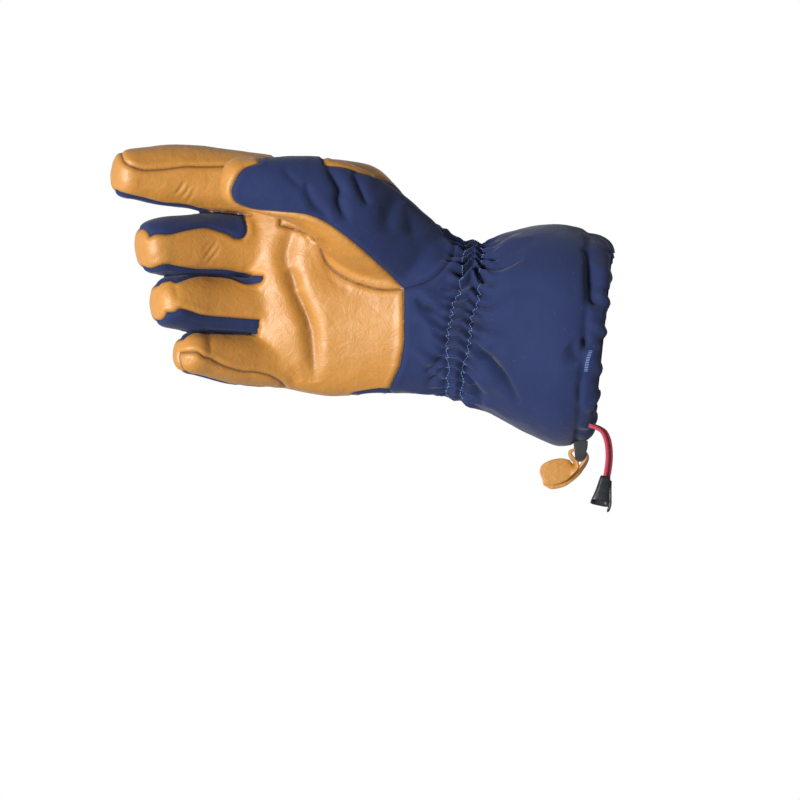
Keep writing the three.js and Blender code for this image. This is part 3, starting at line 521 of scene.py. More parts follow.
def digit_measures(name, points):
    """Where points lie on a digit: reach along it (one more over the dome), turn round
    it in degrees, and radius, which is 1 on its surface."""
    last = len(DIGITS[name]) - 1
    stations = np.linspace(0, last, last * 40 + 1)
    centre, forward, side, back, wide, deep = digit_frames(name, stations)
    near = np.argmin((centre ** 2).sum(1)[None] - 2 * points @ centre.T, axis=1)
    away = points - centre[near]
    ahead = np.maximum((away * forward[near]).sum(1), 0) * (near == len(stations) - 1)
    across = (away * side[near]).sum(1) / wide[near]
    depth = -(away * back[near]).sum(1) / deep[near]
    power = DIGIT_SQUARENESS / 2
    sine = np.sign(across) * np.abs(across) ** power
    cosine = np.sign(depth) * np.abs(depth) ** power
    section = (np.abs(across) ** (2 * power) + np.abs(depth) ** (2 * power)) ** (0.5 / power)
    rise = ahead / DOMES[name]
    return {
        "reach": stations[near] + rise,
        "turn": np.degrees(np.arctan2(sine, cosine)),
        "radius": (section ** TIP_SQUARENESS + rise ** TIP_SQUARENESS) ** (1 / TIP_SQUARENESS),
    }


def measures(points):
    """All that the seams and folds need to know about points of the shell."""
    m = {"x": points[:, 0], "y": points[:, 1], "z": points[:, 2]}
    eye_x, eye_z = camera.location.x / MM, camera.location.z / MM
    spread = CAMERA_DISTANCE / (CAMERA_DISTANCE + points[:, 1] * MM)
    m["u"] = eye_x + (points[:, 0] - eye_x) * spread
    m["v"] = eye_z + (points[:, 2] - eye_z) * spread
    for name in DIGITS:
        for key, value in digit_measures(name, points).items():
            m[f"{name}_{key}"] = value
    middle_y, middle_z, deep, high, squareness = hand_section(points[:, 0])
    across = np.abs(points[:, 2] - middle_z) / high
    depth = np.abs(points[:, 1] - middle_y) / deep
    m["hand_radius"] = (across ** squareness + depth ** squareness) ** (1 / squareness)
    m["hand_turn"] = np.arctan2(middle_y - points[:, 1], points[:, 2] - middle_z)
    m["inward"] = (1 - m["hand_radius"]) * (deep + high) / 2
    return m


def step_distance(x, z, x1, z1, x2, z2):
    """Distance to one straight step of a line, and how far along it the nearest place is."""
    dx, dz = x2 - x1, z2 - z1
    t = np.clip(((x - x1) * dx + (z - z1) * dz) / (dx * dx + dz * dz + 1e-12), 0, 1)
    return np.hypot(x - x1 - t * dx, z - z1 - t * dz), t


def outline_distance(x, z, outline):
    """Distance to a closed outline in the front view, positive inside."""
    outline = np.asarray(outline, float)
    best = np.full(len(x), 1e9)
    inside = np.zeros(len(x), bool)
    for (x1, z1), (x2, z2) in zip(outline, np.roll(outline, -1, axis=0)):
        best = np.minimum(best, step_distance(x, z, x1, z1, x2, z2)[0])
        crosses = (z1 > z) != (z2 > z)
        inside ^= crosses & (x < x1 + (z - z1) * (x2 - x1) / (z2 - z1 if z2 != z1 else 1e-12))
    return np.where(inside, best, -best)


PIXEL = 0.53


def seen(pixels):
    """Places in an 800 pixel picture as millimetres on the plane y = 0."""
    return [((px - 600) * PIXEL, (345 - py) * PIXEL) for px, py in pixels]


# Seams as the camera sees them, and how far back the panels reach
THUMB_PANEL_LOWER = [
    (-181, 97), (-189, 93.5), (-194, 86), (-195.5, 80.5), (-192, 74.5), (-181, 71),
    (-155, 68.8), (-137, 59.3), (-117, 42.4), (-104, 29.7),
]
THUMB_PANEL_ARC = [(-104, 29.7), (-90, 34.5), (-80.5, 43.5), (-77.4, 51), (-83.7, 60.4)]
THUMB_PANEL_UPPER = [(-110.5, 86.4), (-117, 88.8), (-127, 91.4), (-135, 94), (-146, 96.4)]
THUMB_EDGE = [(-203, 70), (-190, 69), (-175, 65)]
THENAR_SEAM = [(-158, 60), (-151, 54), (-144, 42), (-133, 34.5), (-117, 29.5), (-104, 29.7)]
PALM_END = [(-60, -111.3), (-23.5, -111.3), (-11, -106), (1, -104), (112, -104)]
PALM_EDGE = [(-210, -60), (-134, -60), (-131, -25.5), (-117, -23.4), (-60, -23.4)]
THUMB_PANEL_DEPTH = [
    (-210, -37), (-168, -37), (-150, -31), (-134, -23), (-120, -15), (-109, -4), (-98, 3.5), (-60, 3.5),
]
THUMB_DEPTH = [(-210, -23.4), (-170, -23.4), (-165, -8), (-146, 3.5), (-60, 3.5)]
PALM_DEPTH = [(-210, -9), (-180, -9), (-173, 2.5), (-60, 2.5)]
SIDE_SEAM_Y = 2.5
BACK_SEAM_X = -84
HEM_X = -7
FINGER_SEAMS = {
    "index_top": [
        (118, 130), (121, 155), (123.5, 161), (131, 165.5), (141, 169), (149, 170), (166, 169),
        (187, 166.5), (205, 166.5), (250, 165), (290, 162),
    ],
    "index_low": [
        (111, 206), (113, 189.5), (121, 193), (141, 198), (161, 203), (187, 206), (202, 210),
        (220, 211.5), (236, 214), (245, 219), (249, 240),
    ],
    "middle_top": [
        (138, 215), (139, 234), (146, 238), (156, 234), (170, 234), (187, 230), (205, 227), (216, 229),
        (227, 233), (236, 238), (244, 237), (250, 225),
    ],
    "middle_low": [
        (139, 290), (141, 271), (147, 269), (153, 269), (166, 265), (178, 267), (200, 270), (225, 271),
        (241, 274), (253, 276.5), (260, 279), (264, 292),
    ],
    "ring_top": [
        (150, 265), (151, 282), (161, 282), (172, 279.5), (178, 281), (196, 276), (209, 275), (225, 276),
        (236, 279.5), (245, 283), (256, 283), (262, 280), (265, 266),
    ],
    "ring_low": [
        (154, 335), (156, 317), (160, 313), (174, 312.5), (181, 309), (191, 311.5), (205, 316), (227, 318),
        (254, 320), (262, 321), (267, 324), (270, 340),
    ],
    "little_top": [
        (177, 312), (178, 331), (184, 326), (195, 327), (205, 326), (215, 329), (230, 327), (255, 329),
        (263, 328), (268, 324), (271, 310),
    ],
    "little_low": [
        (174.5, 380), (177, 358), (180, 353), (193.5, 352), (199, 353), (205, 357), (212, 359), (220, 364),
        (229, 368), (244, 372), (258, 373), (272, 377), (284, 386), (292, 400),
    ],
}
WEBS = {  # x and z of each web's middle, and the row of its fingers where their strip starts
    ("index", "middle"): (-192, 67.5, 1.8),
    ("middle", "ring"): (-188, 35, 1.4),
    ("ring", "little"): (-187, 4.5, 1.6),
}
WEB_RADIUS = 7.5
WEB_Y = (-9, 3)
DIGIT_RADIUS = 15.5
ARC = math.radians(DIGIT_RADIUS)
ROOT_STEP = 17
TIP_STEP = 13
INDEX_SIDE_TURN = 94
SIDE_TURN = 88
BACK_TURN = 118
SIDE_END = 5.8
LITTLE_SIDE_END = 6.6
TIP_START = 5.5
PAST_TIP = 9
ON_SEAM = 0.02
PALM_START = -190


def at(table, x):
    """Straight steps through a table of pairs."""
    keys, values = zip(*table)
    return np.interp(x, keys, values)


def seam_height(m, name):
    """How far points lie above a finger's seam line, as the camera sees them."""
    line = spline(seen(FINGER_SEAMS[name]), 8 * len(FINGER_SEAMS[name]))
    line = line[np.argsort(line[:, 0])]
    return m["v"] - np.interp(m["u"], line[:, 0], line[:, 1])


def on_digit(m, name, start, end):
    """Distance inside the part of the shell that is a digit's own, between two reaches."""
    others = np.min([m[f"{other}_radius"] for other in DIGITS if other != name], axis=0)
    reach = m[f"{name}_reach"]
    return np.minimum.reduce([
        (others - m[f"{name}_radius"]) * DIGIT_RADIUS + 0.01, (reach - start) * ROOT_STEP,
        (end - reach) * TIP_STEP,
    ])


def thumb_back(m):
    outline = [
        *spline(THUMB_PANEL_LOWER, 40), *spline(THUMB_PANEL_ARC, 16)[1:], (-80, 80), (-98, 104),
        (-110.5, 104), *spline(THUMB_PANEL_UPPER, 14), (-150, 112), (-178, 112),
    ]
    return np.minimum(outline_distance(m["u"], m["v"], outline), at(THUMB_PANEL_DEPTH, m["x"]) - m["y"])


def thumb_leather(m):
    outline = [(-210, 112), (-210, 70), *spline(THUMB_EDGE + THENAR_SEAM, 40), (-104, 112)]
    return np.minimum(outline_distance(m["u"], m["v"], outline), at(THUMB_DEPTH, m["x"]) - m["y"])


def gauntlet(m):
    front = np.minimum(m["x"] - at(PALM_END, m["z"]), SIDE_SEAM_Y - m["y"])
    return np.maximum(front, m["x"] - BACK_SEAM_X)


def index_side(m):
    return np.minimum.reduce([
        seam_height(m, "index_top"), (INDEX_SIDE_TURN - m["index_turn"]) * ARC,
        on_digit(m, "index", 1, SIDE_END),
    ])


def little_side(m):
    return np.minimum.reduce([
        -seam_height(m, "little_low"), (SIDE_TURN - np.abs(m["little_turn"])) * ARC,
        on_digit(m, "little", 0.6, LITTLE_SIDE_END),
    ])


def fourchette(upper, lower):
    """The strip between two fingers: a side of each, and the web that joins them."""
    web_x, web_z, start = WEBS[upper, lower]

    def region(m):
        parts = [np.minimum.reduce([
            WEB_RADIUS - np.hypot(m["x"] - web_x, m["z"] - web_z), m["y"] - WEB_Y[0], WEB_Y[1] - m["y"],
        ])]
        for name, seam, sign in ((upper, "low", -1), (lower, "top", 1)):
            turn = sign * m[f"{name}_turn"]
            side = np.maximum(sign * seam_height(m, f"{name}_{seam}"), (turn - SIDE_TURN) * ARC)
            parts.append(np.minimum.reduce([
                side, (BACK_TURN - turn) * ARC, on_digit(m, name, start, SIDE_END),
            ]))
        return np.maximum.reduce(parts)
    return region


def palm(m):
    front = np.minimum.reduce([
        at(PALM_DEPTH, m["x"]) - m["y"], m["x"] - PALM_START, m["z"] - at(PALM_EDGE, m["x"]),
    ])
    for name in ("index", "middle", "ring", "little"):
        front = np.maximum.reduce([
            front, on_digit(m, name, TIP_START, PAST_TIP),
            np.minimum((SIDE_TURN - np.abs(m[f"{name}_turn"])) * ARC, on_digit(m, name, 1, PAST_TIP)),
        ])
    return front


PANELS = [
    ("thumb_back", thumb_back), ("thumb_leather", thumb_leather), ("cuff_hem", lambda m: m["x"] - HEM_X),
    ("gauntlet", gauntlet), ("index_side_leather", index_side), ("little_side_leather", little_side),
    *((f"fourchette_{upper}_{lower}", fourchette(upper, lower)) for upper, lower in WEBS),
    ("palm_leather", palm),
]


def cut(points, triangles, labels, value, chosen):
    """Splits the triangles whose label is chosen where value changes sign, so that the
    line where it is zero runs along edges. Returns the value at the new points too."""
    value = np.where(np.abs(value) < ON_SEAM, 0.0, value)
    edges = edges_of(triangles[labels == chosen])
    a, b = edges.T
    split = value[a] * value[b] < 0
    a, b = a[split], b[split]
    t = value[a] / (value[a] - value[b])
    new = points[a] + (points[b] - points[a]) * t[:, None]
    where = {(int(p), int(q)): len(points) + i for i, (p, q) in enumerate(zip(a, b))}
    touched = np.zeros(len(points), bool)
    touched[a] = touched[b] = True
    near = touched[triangles].sum(1) >= 2
    made, made_labels = [], []
    for tri, label in zip(triangles[near].tolist(), labels[near].tolist()):
        sides = [sorted((tri[k], tri[(k + 1) % 3])) for k in range(3)]
        middles = [where.get(tuple(side)) for side in sides]
        count = 3 - middles.count(None)
        k = next((i for i in range(3) if (middles[i] is None) == (count == 2)), 0)
        p, q, r = tri[k:] + tri[:k]
        at_pq, at_qr, at_rp = middles[k:] + middles[:k]
        if count == 0:
            pieces = [tri]
        elif count == 1:
            pieces = [(p, at_pq, r), (at_pq, q, r)]
        else:
            pieces = [(r, at_rp, at_qr), (p, q, at_qr), (p, at_qr, at_rp)]
        made += pieces
        made_labels += [label] * len(pieces)
    triangles = np.concatenate([triangles[~near], np.array(made, int).reshape(-1, 3)])
    labels = np.concatenate([labels[~near], np.array(made_labels, int)])
    return np.concatenate([points, new]), triangles, labels, np.concatenate([value, np.zeros(len(new))])


def cut_into_panels(points, triangles):
    """Cuts the skin along all seams and numbers each triangle by its panel."""
    labels = np.zeros(len(triangles), int)
    known = measures(points)
    for number, (_, region) in enumerate(PANELS, start=1):
        before = len(points)
        points, triangles, labels, value = cut(points, triangles, labels, region(known), 0)
        fresh = measures(points[before:])
        known = {key: np.concatenate([known[key], fresh[key]]) for key in known}
        labels[(labels == 0) & (value[triangles].mean(1) > 0)] = number
    return points, triangles, labels, known


points, triangles = joined_skin()
points = smoothed(points, triangles, SMOOTHING_ROUNDS)
points, triangles, labels, known = cut_into_panels(points, triangles)

# Folds and gathers
# Creases of the palm side along lines as the camera sees them, the elastic's
# gathers between its two stitched lines, ruffles and the channel at the hem, and
# a slow unevenness all over. All are pushed into the skin along its normals, and
# the hollows of the folds and the lines where fingers touch get painted shade.
CREASES = [  # width and depth in millimetres, then the line's points in picture pixels
    (4.4, 4.4, [
        (288, 268), (293, 281), (298, 297), (304.5, 312.5), (309.5, 327), (312, 344), (313, 362), (315, 382),
    ]),
    (5.5, 3.4, [(294, 226), (288, 243), (286, 257), (289, 272), (296, 290)]),
    (2.2, 1.4, [(299, 223), (308, 234.5), (314.5, 243), (320, 249)]),
    (2.0, 1.8, [(316, 240), (323, 245), (329, 251)]),
    (6.0, 1.8, [(317, 245), (323, 259), (330, 271), (341, 281), (352, 288)]),
    (1.6, 0.9, [(297, 290), (303, 302), (307, 316), (309, 330)]),
    (1.5, 0.8, [(289, 283), (297, 300), (305, 318)]),
    (1.4, 0.8, [(290, 367), (296, 374), (301, 381)]),
    (1.4, 0.7, [(294, 364), (300, 371), (305, 380)]),
    (1.3, 0.6, [(286, 371), (292, 379), (296, 386)]),
    (1.4, 0.7, [(300, 360), (305, 370), (309, 382)]),
    (1.2, 0.5, [(322, 262), (330, 275), (338, 286)]),
    (1.1, 0.7, [(175, 195), (181, 188), (185, 180)]),
    (1.0, 0.6, [(181, 199), (187, 191), (190, 184)]),
    (1.0, 0.5, [(186, 203), (191, 196), (194, 188)]),
    (1.4, 0.8, [(203, 260), (211, 250), (218, 240)]),
    (1.1, 0.6, [(207, 264), (214, 256), (221, 246)]),
    (1.0, 0.5, [(201, 254), (206, 247), (212, 241)]),
    (3.0, 0.8, [(172, 279), (176, 290), (178, 300)]),
    (3.0, 0.9, [(205, 326), (210, 340), (212, 355)]),
    (2.2, 1.0, [(283, 166.5), (289.6, 176.5), (303, 190)]),
    (2.6, 2.4, [(305.4, 183), (308, 193), (314.5, 206), (322.8, 213), (329.4, 223)]),
    (3.4, 4.0, [
        (324.5, 161.5), (334.4, 176.5), (341, 189.8), (339.4, 199.7), (342.7, 211.3), (347.7, 221.3),
    ]),
    (2.8, 2.8, [(352.6, 171.5), (357.6, 181.5), (364.3, 196.4), (369.2, 206.3)]),
    (5.5, 2.8, [(399, 194.7), (394, 206.3), (389, 219.6), (390, 234.5)]),
    (5.5, 2.4, [(407.4, 203), (414, 223), (415.7, 236)]),
    (2.2, 2.6, [(415.7, 299), (424, 307.5), (435.6, 307.5)]),
    (2.8, 3.0, [(488, 272), (505, 265), (522.6, 257)]),
    (3.0, 4.4, [(471, 339), (482.4, 353), (501.6, 376), (518.8, 404.5)]),
    (2.6, 3.4, [(463, 368), (471, 383.4), (478.6, 398.7), (484.3, 408.3)]),
    (2.0, 2.2, [(425, 307), (436.5, 310.7), (451.8, 310.7)]),
    (2.4, 3.0, [(425, 374), (434.6, 366), (446, 352.8)]),
    (2.2, 2.6, [(425, 387), (436.5, 377.7), (444, 368)]),
    (1.8, 1.8, [(440, 288), (448, 289), (456, 288)]),
    (3.2, 4.8, [(582, 245.6), (589.6, 262.8), (591.5, 278), (593.4, 291.6), (597.2, 301), (606.8, 305)]),
    (2.4, 3.2, [(586, 337.5), (589.6, 341), (593, 347), (607, 347)]),
    (5.0, 2.6, [(570, 346), (578, 354), (585, 362)]),
    (2.2, 1.2, [(584, 381), (586, 392), (587.7, 402.6)]),
]
LEFT_ELASTIC = [  # z and x of each stitched line
    (-60, -82), (-14, -80.8), (0, -81.2), (5, -81), (13, -79.3), (21, -78.2), (26, -75), (39, -73.1),
    (60, -71),
]
RIGHT_ELASTIC = [
    (-60, -75), (-14, -73), (0, -69.6), (13, -68.6), (21, -65.4), (26, -64.6), (39, -63.6), (60, -62),
]
GATHERS_START = -125
RIB_COUNT = 37
RIB_HEIGHT = 2.5
RIB_REACH = 6
WAVE_COUNT = 13
WAVE_HEIGHT = 1.7
WAVE_REACH = 15
PINCH_DEPTH = 1.5
PINCH_WIDTH = 2.2
HERRINGBONE = [(26, 2.6), (40, 6.6)]  # z, and how far the ribs slant
RUFFLES_START = -32
RUFFLES = [(0.8, 17, 0, 3.4), (0.45, 33, 1, 3)]  # height, count, phase and wander
FINE_WIDTH = 3.5
FINE_SHARE = 0.38
BROAD_SHARE = 0.12
RIDGE_SHARE = 0.07
CONTACT_START = -184
CONTACT_RADIUS = 1.6
FAR_AWAY = 99
LEAN = 0.105
LEAN_START = -42
LEAN_TOP = 45
CUFF_HALF_DEPTH = 48
LEAN_BACK = 1.6
FRONT_DROP = 2
SEAM_DEPTH = 0.75
SEAM_WIDTH = 1.3
SWELL = 0.3
SWELL_WIDTH = 1.6
SWELL_GAP = 2.6
CONTACT_DEPTH = 1.1
CONTACT_WIDTH = 1.4
HOLLOW_ROUNDS = 14
UNEVEN = [(0.55, 22, 11), (0.25, 9, 29)]  # height, size and seed


def bell(distance, width):
    return np.exp(-(distance / width) ** 2)


def fold_depth(m, facing):
    """Depth of the creases of the palm side. facing is 1 where the skin faces front."""
    depth = np.zeros(len(m["x"]))
    for width, deep, pixels in CREASES:
        line = spline(seen(pixels), 6 * len(pixels))
        low, high = line.min(0) - 4 * width, line.max(0) + 4 * width
        near = np.flatnonzero((m["u"] > low[0]) & (m["u"] < high[0]) & (m["v"] > low[1]) & (m["v"] < high[1]))
        u, v = m["u"][near], m["v"][near]
        nearest, place = np.full(len(near), 1e9), np.zeros(len(near))
        for i, ((u1, v1), (u2, v2)) in enumerate(zip(line[:-1], line[1:])):
            away, t = step_distance(u, v, u1, v1, u2, v2)
            place = np.where(away < nearest, (i + t) / (len(line) - 1), place)
            nearest = np.minimum(nearest, away)
        fade = np.clip(np.sin(math.pi * place), 0, 1) ** 0.6
        wide = width * (0.7 + 0.3 * fade)
        sharp = FINE_SHARE if width < FINE_WIDTH else BROAD_SHARE
        valley = (1 - sharp) * bell(nearest, wide) + sharp * bell(nearest, 0.4 * wide)
        depth[near] += deep * fade * (valley - RIDGE_SHARE * bell(nearest - 1.9 * wide, wide))
    return depth * np.clip(facing * 2, 0, 1)


def slow_noise(points, size, seed):
    """Even noise from -1 to 1 with features of a size in millimetres."""
    return np.array([noise.noise((x / size + seed, y / size, z / size)) for x, y, z in points.tolist()])


def wrist_relief(m, points):
    """Gathers between and beside the elastic's two stitched lines."""
    left, right = (m["x"] - at(table, m["z"]) for table in (LEFT_ELASTIC, RIGHT_ELASTIC))
    between = np.clip(left / (left - right), 0, 1)
    outside = np.maximum(np.maximum(-left, right), 0)
    wander = slow_noise(points, 16, 3)
    detail = slow_noise(points, 7, 5)
    turn = m["hand_turn"]
    chevron = at(HERRINGBONE, m["z"]) * (1 - np.abs(2 * between - 1))
    ribs = np.cos(RIB_COUNT * turn + chevron + 2.6 * wander + 1.2 * detail) * (0.85 + 0.6 * wander)
    ribs = RIB_HEIGHT * ribs * bell(outside, RIB_REACH)
    waves = np.cos(WAVE_COUNT * turn + 3.2 * wander + 0.03 * left) * (0.75 + 0.6 * wander)
    waves = WAVE_HEIGHT * waves * bell(outside - 5, WAVE_REACH) * (1 - bell(outside, 4))
    pinch = PINCH_DEPTH * (bell(left, PINCH_WIDTH) + bell(right, PINCH_WIDTH))
    pinch += 0.9 * bell(outside, RIB_REACH)
    return ribs + waves - pinch


def hem_relief(m, points):
    """Ruffles where the drawcord gathers the hem, its channel and the channel's edge."""
    wander = slow_noise(points, 15, 17)
    ruffle = sum(
        high * np.cos(count * m["hand_turn"] + phase + sway * wander) for high, count, phase, sway in RUFFLES)
    channel = 0.7 * bell(m["x"] + 0.5, 3.5) - 1.0 * bell(m["x"] + 8, 2.2)
    return ruffle * bell(np.minimum(m["x"] - 2, 0), 10) + channel


def finger_contact(m):
    """How near a point is to the line where two fingers touch, in millimetres."""
    radii = np.sort(np.stack([m[f"{name}_radius"] for name in DIGITS]), axis=0)
    gap = (radii[1] - radii[0]) * DIGIT_RADIUS
    return np.where((m["x"] < CONTACT_START) & (radii[1] < CONTACT_RADIUS), gap, FAR_AWAY)


SEAMLESS = [i for i, (name, _) in enumerate(PANELS, start=1) if name in ("cuff_hem", "gauntlet")]


def seam_distance(points, triangles, labels):
    """Distance from each point to the nearest seam between two panels."""
    pairs = np.sort(triangles[:, [0, 1, 1, 2, 2, 0]].reshape(-1, 2), axis=1)
    owner = np.repeat(labels, 3)
    order = np.lexsort((pairs[:, 1], pairs[:, 0]))
    pairs, owner = pairs[order], owner[order]
    same = (pairs[1:] == pairs[:-1]).all(1)
    differs = same & (owner[1:] != owner[:-1])
    seamless = np.isin(owner[1:], SEAMLESS) & np.isin(owner[:-1], SEAMLESS)
    seam = pairs[1:][differs & ~seamless]
    on_seam = np.concatenate([points[seam[:, 0]], points[seam[:, 1]], points[seam].mean(1)])
    tree = KDTree(len(on_seam))
    for i, point in enumerate(on_seam):
        tree.insert(point, i)
    tree.balance()
    distance = np.array([tree.find(point)[2] for point in points])
    distance[np.unique(seam)] = 0
    return distance


def lean(points):
    """The cuff's opening leans: its thumb side stands further along the forearm."""
    x, y, z = points.T
    reach = np.clip(1 - x / LEAN_START, 0, 1) ** 2
    lift = LEAN * np.minimum(z, LEAN_TOP) - LEAN_BACK - FRONT_DROP * np.clip(-y / CUFF_HALF_DEPTH, 0, 1)
    return np.stack([x + reach * lift, y, z], axis=1)


normals = vertex_normals(points, triangles)
seam_gap = seam_distance(points, triangles, labels)
contact = finger_contact(known)
height = -fold_depth(known, -normals[:, 1])
for start, relief in ((GATHERS_START, wrist_relief), (RUFFLES_START, hem_relief)):
    reached = known["x"] > start
    height[reached] += relief({key: value[reached] for key, value in known.items()}, points[reached])
height += sum(high * slow_noise(points, size, seed) for high, size, seed in UNEVEN)
height -= SEAM_DEPTH * bell(seam_gap, SEAM_WIDTH) - SWELL * bell(seam_gap - SWELL_GAP, SWELL_WIDTH)
height -= CONTACT_DEPTH * bell(contact, CONTACT_WIDTH)
points = lean(points + normals * height[:, None])
normals = vertex_normals(points, triangles)
hollow = smoothed(height[:, None], triangles, HOLLOW_ROUNDS)[:, 0] - height
# Painted shade: the colour gets darker in the hollows of folds and along the lines where fingers touch.
painted_shade = np.clip(0.3 * np.clip(hollow, 0, 1.6) + 0.7 * bell(contact, 1.2), 0, 1)

# Stitching
# Light blue thread: two zigzag rows of short stitches hold the wrist's elastic all
# the way round, and a bar tack of close cross threads marks the hem. Geometry
# nodes put one thread on each place, along its own direction.
THREAD_RADIUS = 0.2
ZIGZAG_PERIOD = 6.9
ZIGZAG_HEIGHT = 1.0
STITCH_PITCH = 1.5
STITCH_LENGTH = 0.8
BAR_TACK = [(590.5, 351), (587.7, 360.5), (585.8, 372)]
BAR_TACK_WIDTH = 1.9
BAR_TACK_PITCH = 0.9
SKIN = BVHTree.FromPolygons(points.tolist(), triangles.tolist())


def polyester_thread():
    """Twisted polyester thread: light blue, twist of 0.5 mm, slightly shiny."""
    material, add, shader = new_material("light_blue_polyester_thread", 0.45, specular=0.45)
    twist = add("TexNoise", {"Vector": add("TexCoord").outputs["Object"], "Scale": 1 / 0.0005})
    fill(shader, {"Base Color": add("Mix", {"Factor": twist, 6: "#4a5f8c", 7: "#6e85b0"}, data_type="RGBA")})
    return material


def stitch_nodes():
    """Geometry nodes that lay a short thread from each vertex along its attribute aim."""
    group = bpy.data.node_groups.new("stitches", "GeometryNodeTree")
    sockets = {"Places": "Geometry", "Length": "Float", "Radius": "Float", "Thread": "Material"}
    for name, kind in sockets.items():
        group.interface.new_socket(name=name, in_out="INPUT", socket_type=f"NodeSocket{kind}")
    group.interface.new_socket(name="Stitches", in_out="OUTPUT", socket_type="NodeSocketGeometry")
    add = partial(add_node, group)
    given = add("NodeGroupInput").outputs
    line = add("GeometryNodeCurvePrimitiveLine", {
        "Direction": (1, 0, 0), "Length": given["Length"],
    }, mode="DIRECTION")
    circle = add("GeometryNodeCurvePrimitiveCircle", {"Resolution": 6, "Radius": given["Radius"]})
    thread = add("GeometryNodeCurveToMesh", {"Curve": line, "Profile Curve": circle, "Fill Caps": True})
    aim = add("GeometryNodeInputNamedAttribute", {"Name": "aim"}, data_type="FLOAT_VECTOR").outputs[0]
    turned = add("FunctionNodeAlignRotationToVector", {"Vector": aim}, axis="X")
    laid = add("GeometryNodeInstanceOnPoints", {
        "Points": given["Places"], "Instance": thread, "Rotation": turned,
    })
    real = add("GeometryNodeRealizeInstances", {"Geometry": laid})
    dressed = add("GeometryNodeSetMaterial", {"Geometry": real, "Material": given["Thread"]})
    add("NodeGroupOutput", {"Stitches": dressed})
    return group


def stitches(name, starts, ends, group, material):
    """A piece of threads from each start to its end, both in millimetres."""
    starts, ends = np.asarray(starts), np.asarray(ends)
    carrier = mesh_object(f"{name}_places", starts * MM, [], material)
    aim = carrier.data.attributes.new("aim", "FLOAT_VECTOR", "POINT")
    aim.data.foreach_set("vector", normalised(ends - starts).astype(np.float32).ravel())
    length = float(np.linalg.norm(ends - starts, axis=1).mean())
    values = {"Length": length * MM, "Radius": THREAD_RADIUS * MM, "Thread": material}
    modifier = carrier.modifiers.new("stitches", "NODES")
    modifier.node_group = group
    for item in group.interface.items_tree:
        if item.name in values:
            modifier[item.identifier] = values[item.name]
    depsgraph = bpy.context.evaluated_depsgraph_get()
    mesh = bpy.data.meshes.new_from_object(carrier.evaluated_get(depsgraph), depsgraph=depsgraph)
    bpy.data.objects.remove(carrier)
    piece = bpy.data.objects.new(name, mesh)
    scene.collection.objects.link(piece)
    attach(piece, "root")
    return piece


def round_the_wrist(table, shifts):
    """Points of the skin round the wrist on a table's line, each moved along x."""
    found, z = [], 0.0
    for turn, shift in zip(np.linspace(0, 2 * math.pi, len(shifts), endpoint=False), shifts):
        for _ in range(2):
            x = float(at(table, z)) + shift
            middle_y, middle_z = (float(v[0]) for v in hand_section(np.array([x]))[:2])
            place, normal, _, _ = SKIN.ray_cast((x, middle_y, middle_z), (0, -math.sin(turn), math.cos(turn)))
            z = place.z
        found.append(place + normal * THREAD_RADIUS * 0.4)
    return np.array(found)


def on_skin(u, v):
    """The point of the skin that the camera sees at a place of the front view."""
    eye = camera.location / MM
    place, normal, _, _ = SKIN.ray_cast(eye, Vector((u, 0, v)) - eye)
    return np.array(place + normal * THREAD_RADIUS * 0.5)


thread = polyester_thread()
laying = stitch_nodes()
for label, table in (("left", LEFT_ELASTIC), ("right", RIGHT_ELASTIC)):
    plain = round_the_wrist(table, np.zeros(240))
    girth = np.linalg.norm(plain - np.roll(plain, 1, axis=0), axis=1).sum()
    phase = np.linspace(0, round(girth / ZIGZAG_PERIOD), 2400, endpoint=False) % 1
    zigzag = round_the_wrist(table, ZIGZAG_HEIGHT * (4 * np.abs(phase - 0.5) - 1))
    begin = np.arange(0, run_along(zigzag)[-1] - STITCH_LENGTH, STITCH_PITCH)
    starts, ends = places_along(zigzag, begin), places_along(zigzag, begin + STITCH_LENGTH)
    stitches(f"elastic_stitches_{label}", starts, ends, laying, thread)
tack = spline(seen(BAR_TACK), 60)
tack = places_along(tack, np.arange(0, run_along(tack)[-1], BAR_TACK_PITCH))
starts, ends = ([on_skin(u + side * BAR_TACK_WIDTH / 2, v) for u, v in tack] for side in (-1, 1))
stitches("hem_bar_tack", starts, ends, laying, thread)

# Panels
# Each panel is a shell of cloth or leather 1 mm thick, outside face and inside
# face, with smooth shading that runs on over the seams' edges.
PANEL_THICKNESS = 1.0
MOUTH_START = -20
MOUTH_DEPTH = 5.5


def darkened(add, colour, painted_shade_colour, at_edge, edge_share):
    """A colour with painted shade in creases and where fingers touch, and darker at seam edges. Also gives
    the distance to a seam.
    """
    shade_factor = add("Attribute", attribute_name="painted_shade").outputs["Fac"]
    # Mixes in the painted shade colour as far as the painted shade attribute reaches.
    deep = add("Mix", {"Factor": shade_factor, 6: colour, 7: painted_shade_colour}, data_type="RGBA")
    seam = add("Attribute", attribute_name="seam_gap").outputs["Fac"]
    edge = add("MapRange", {
        "Value": seam, "From Min": 0.0001, "From Max": 0.0007, "To Min": edge_share, "To Max": 0.0,
    }, interpolation_type="SMOOTHSTEP")
    return add("Mix", {"Factor": edge, 6: deep, 7: at_edge}, data_type="RGBA"), seam


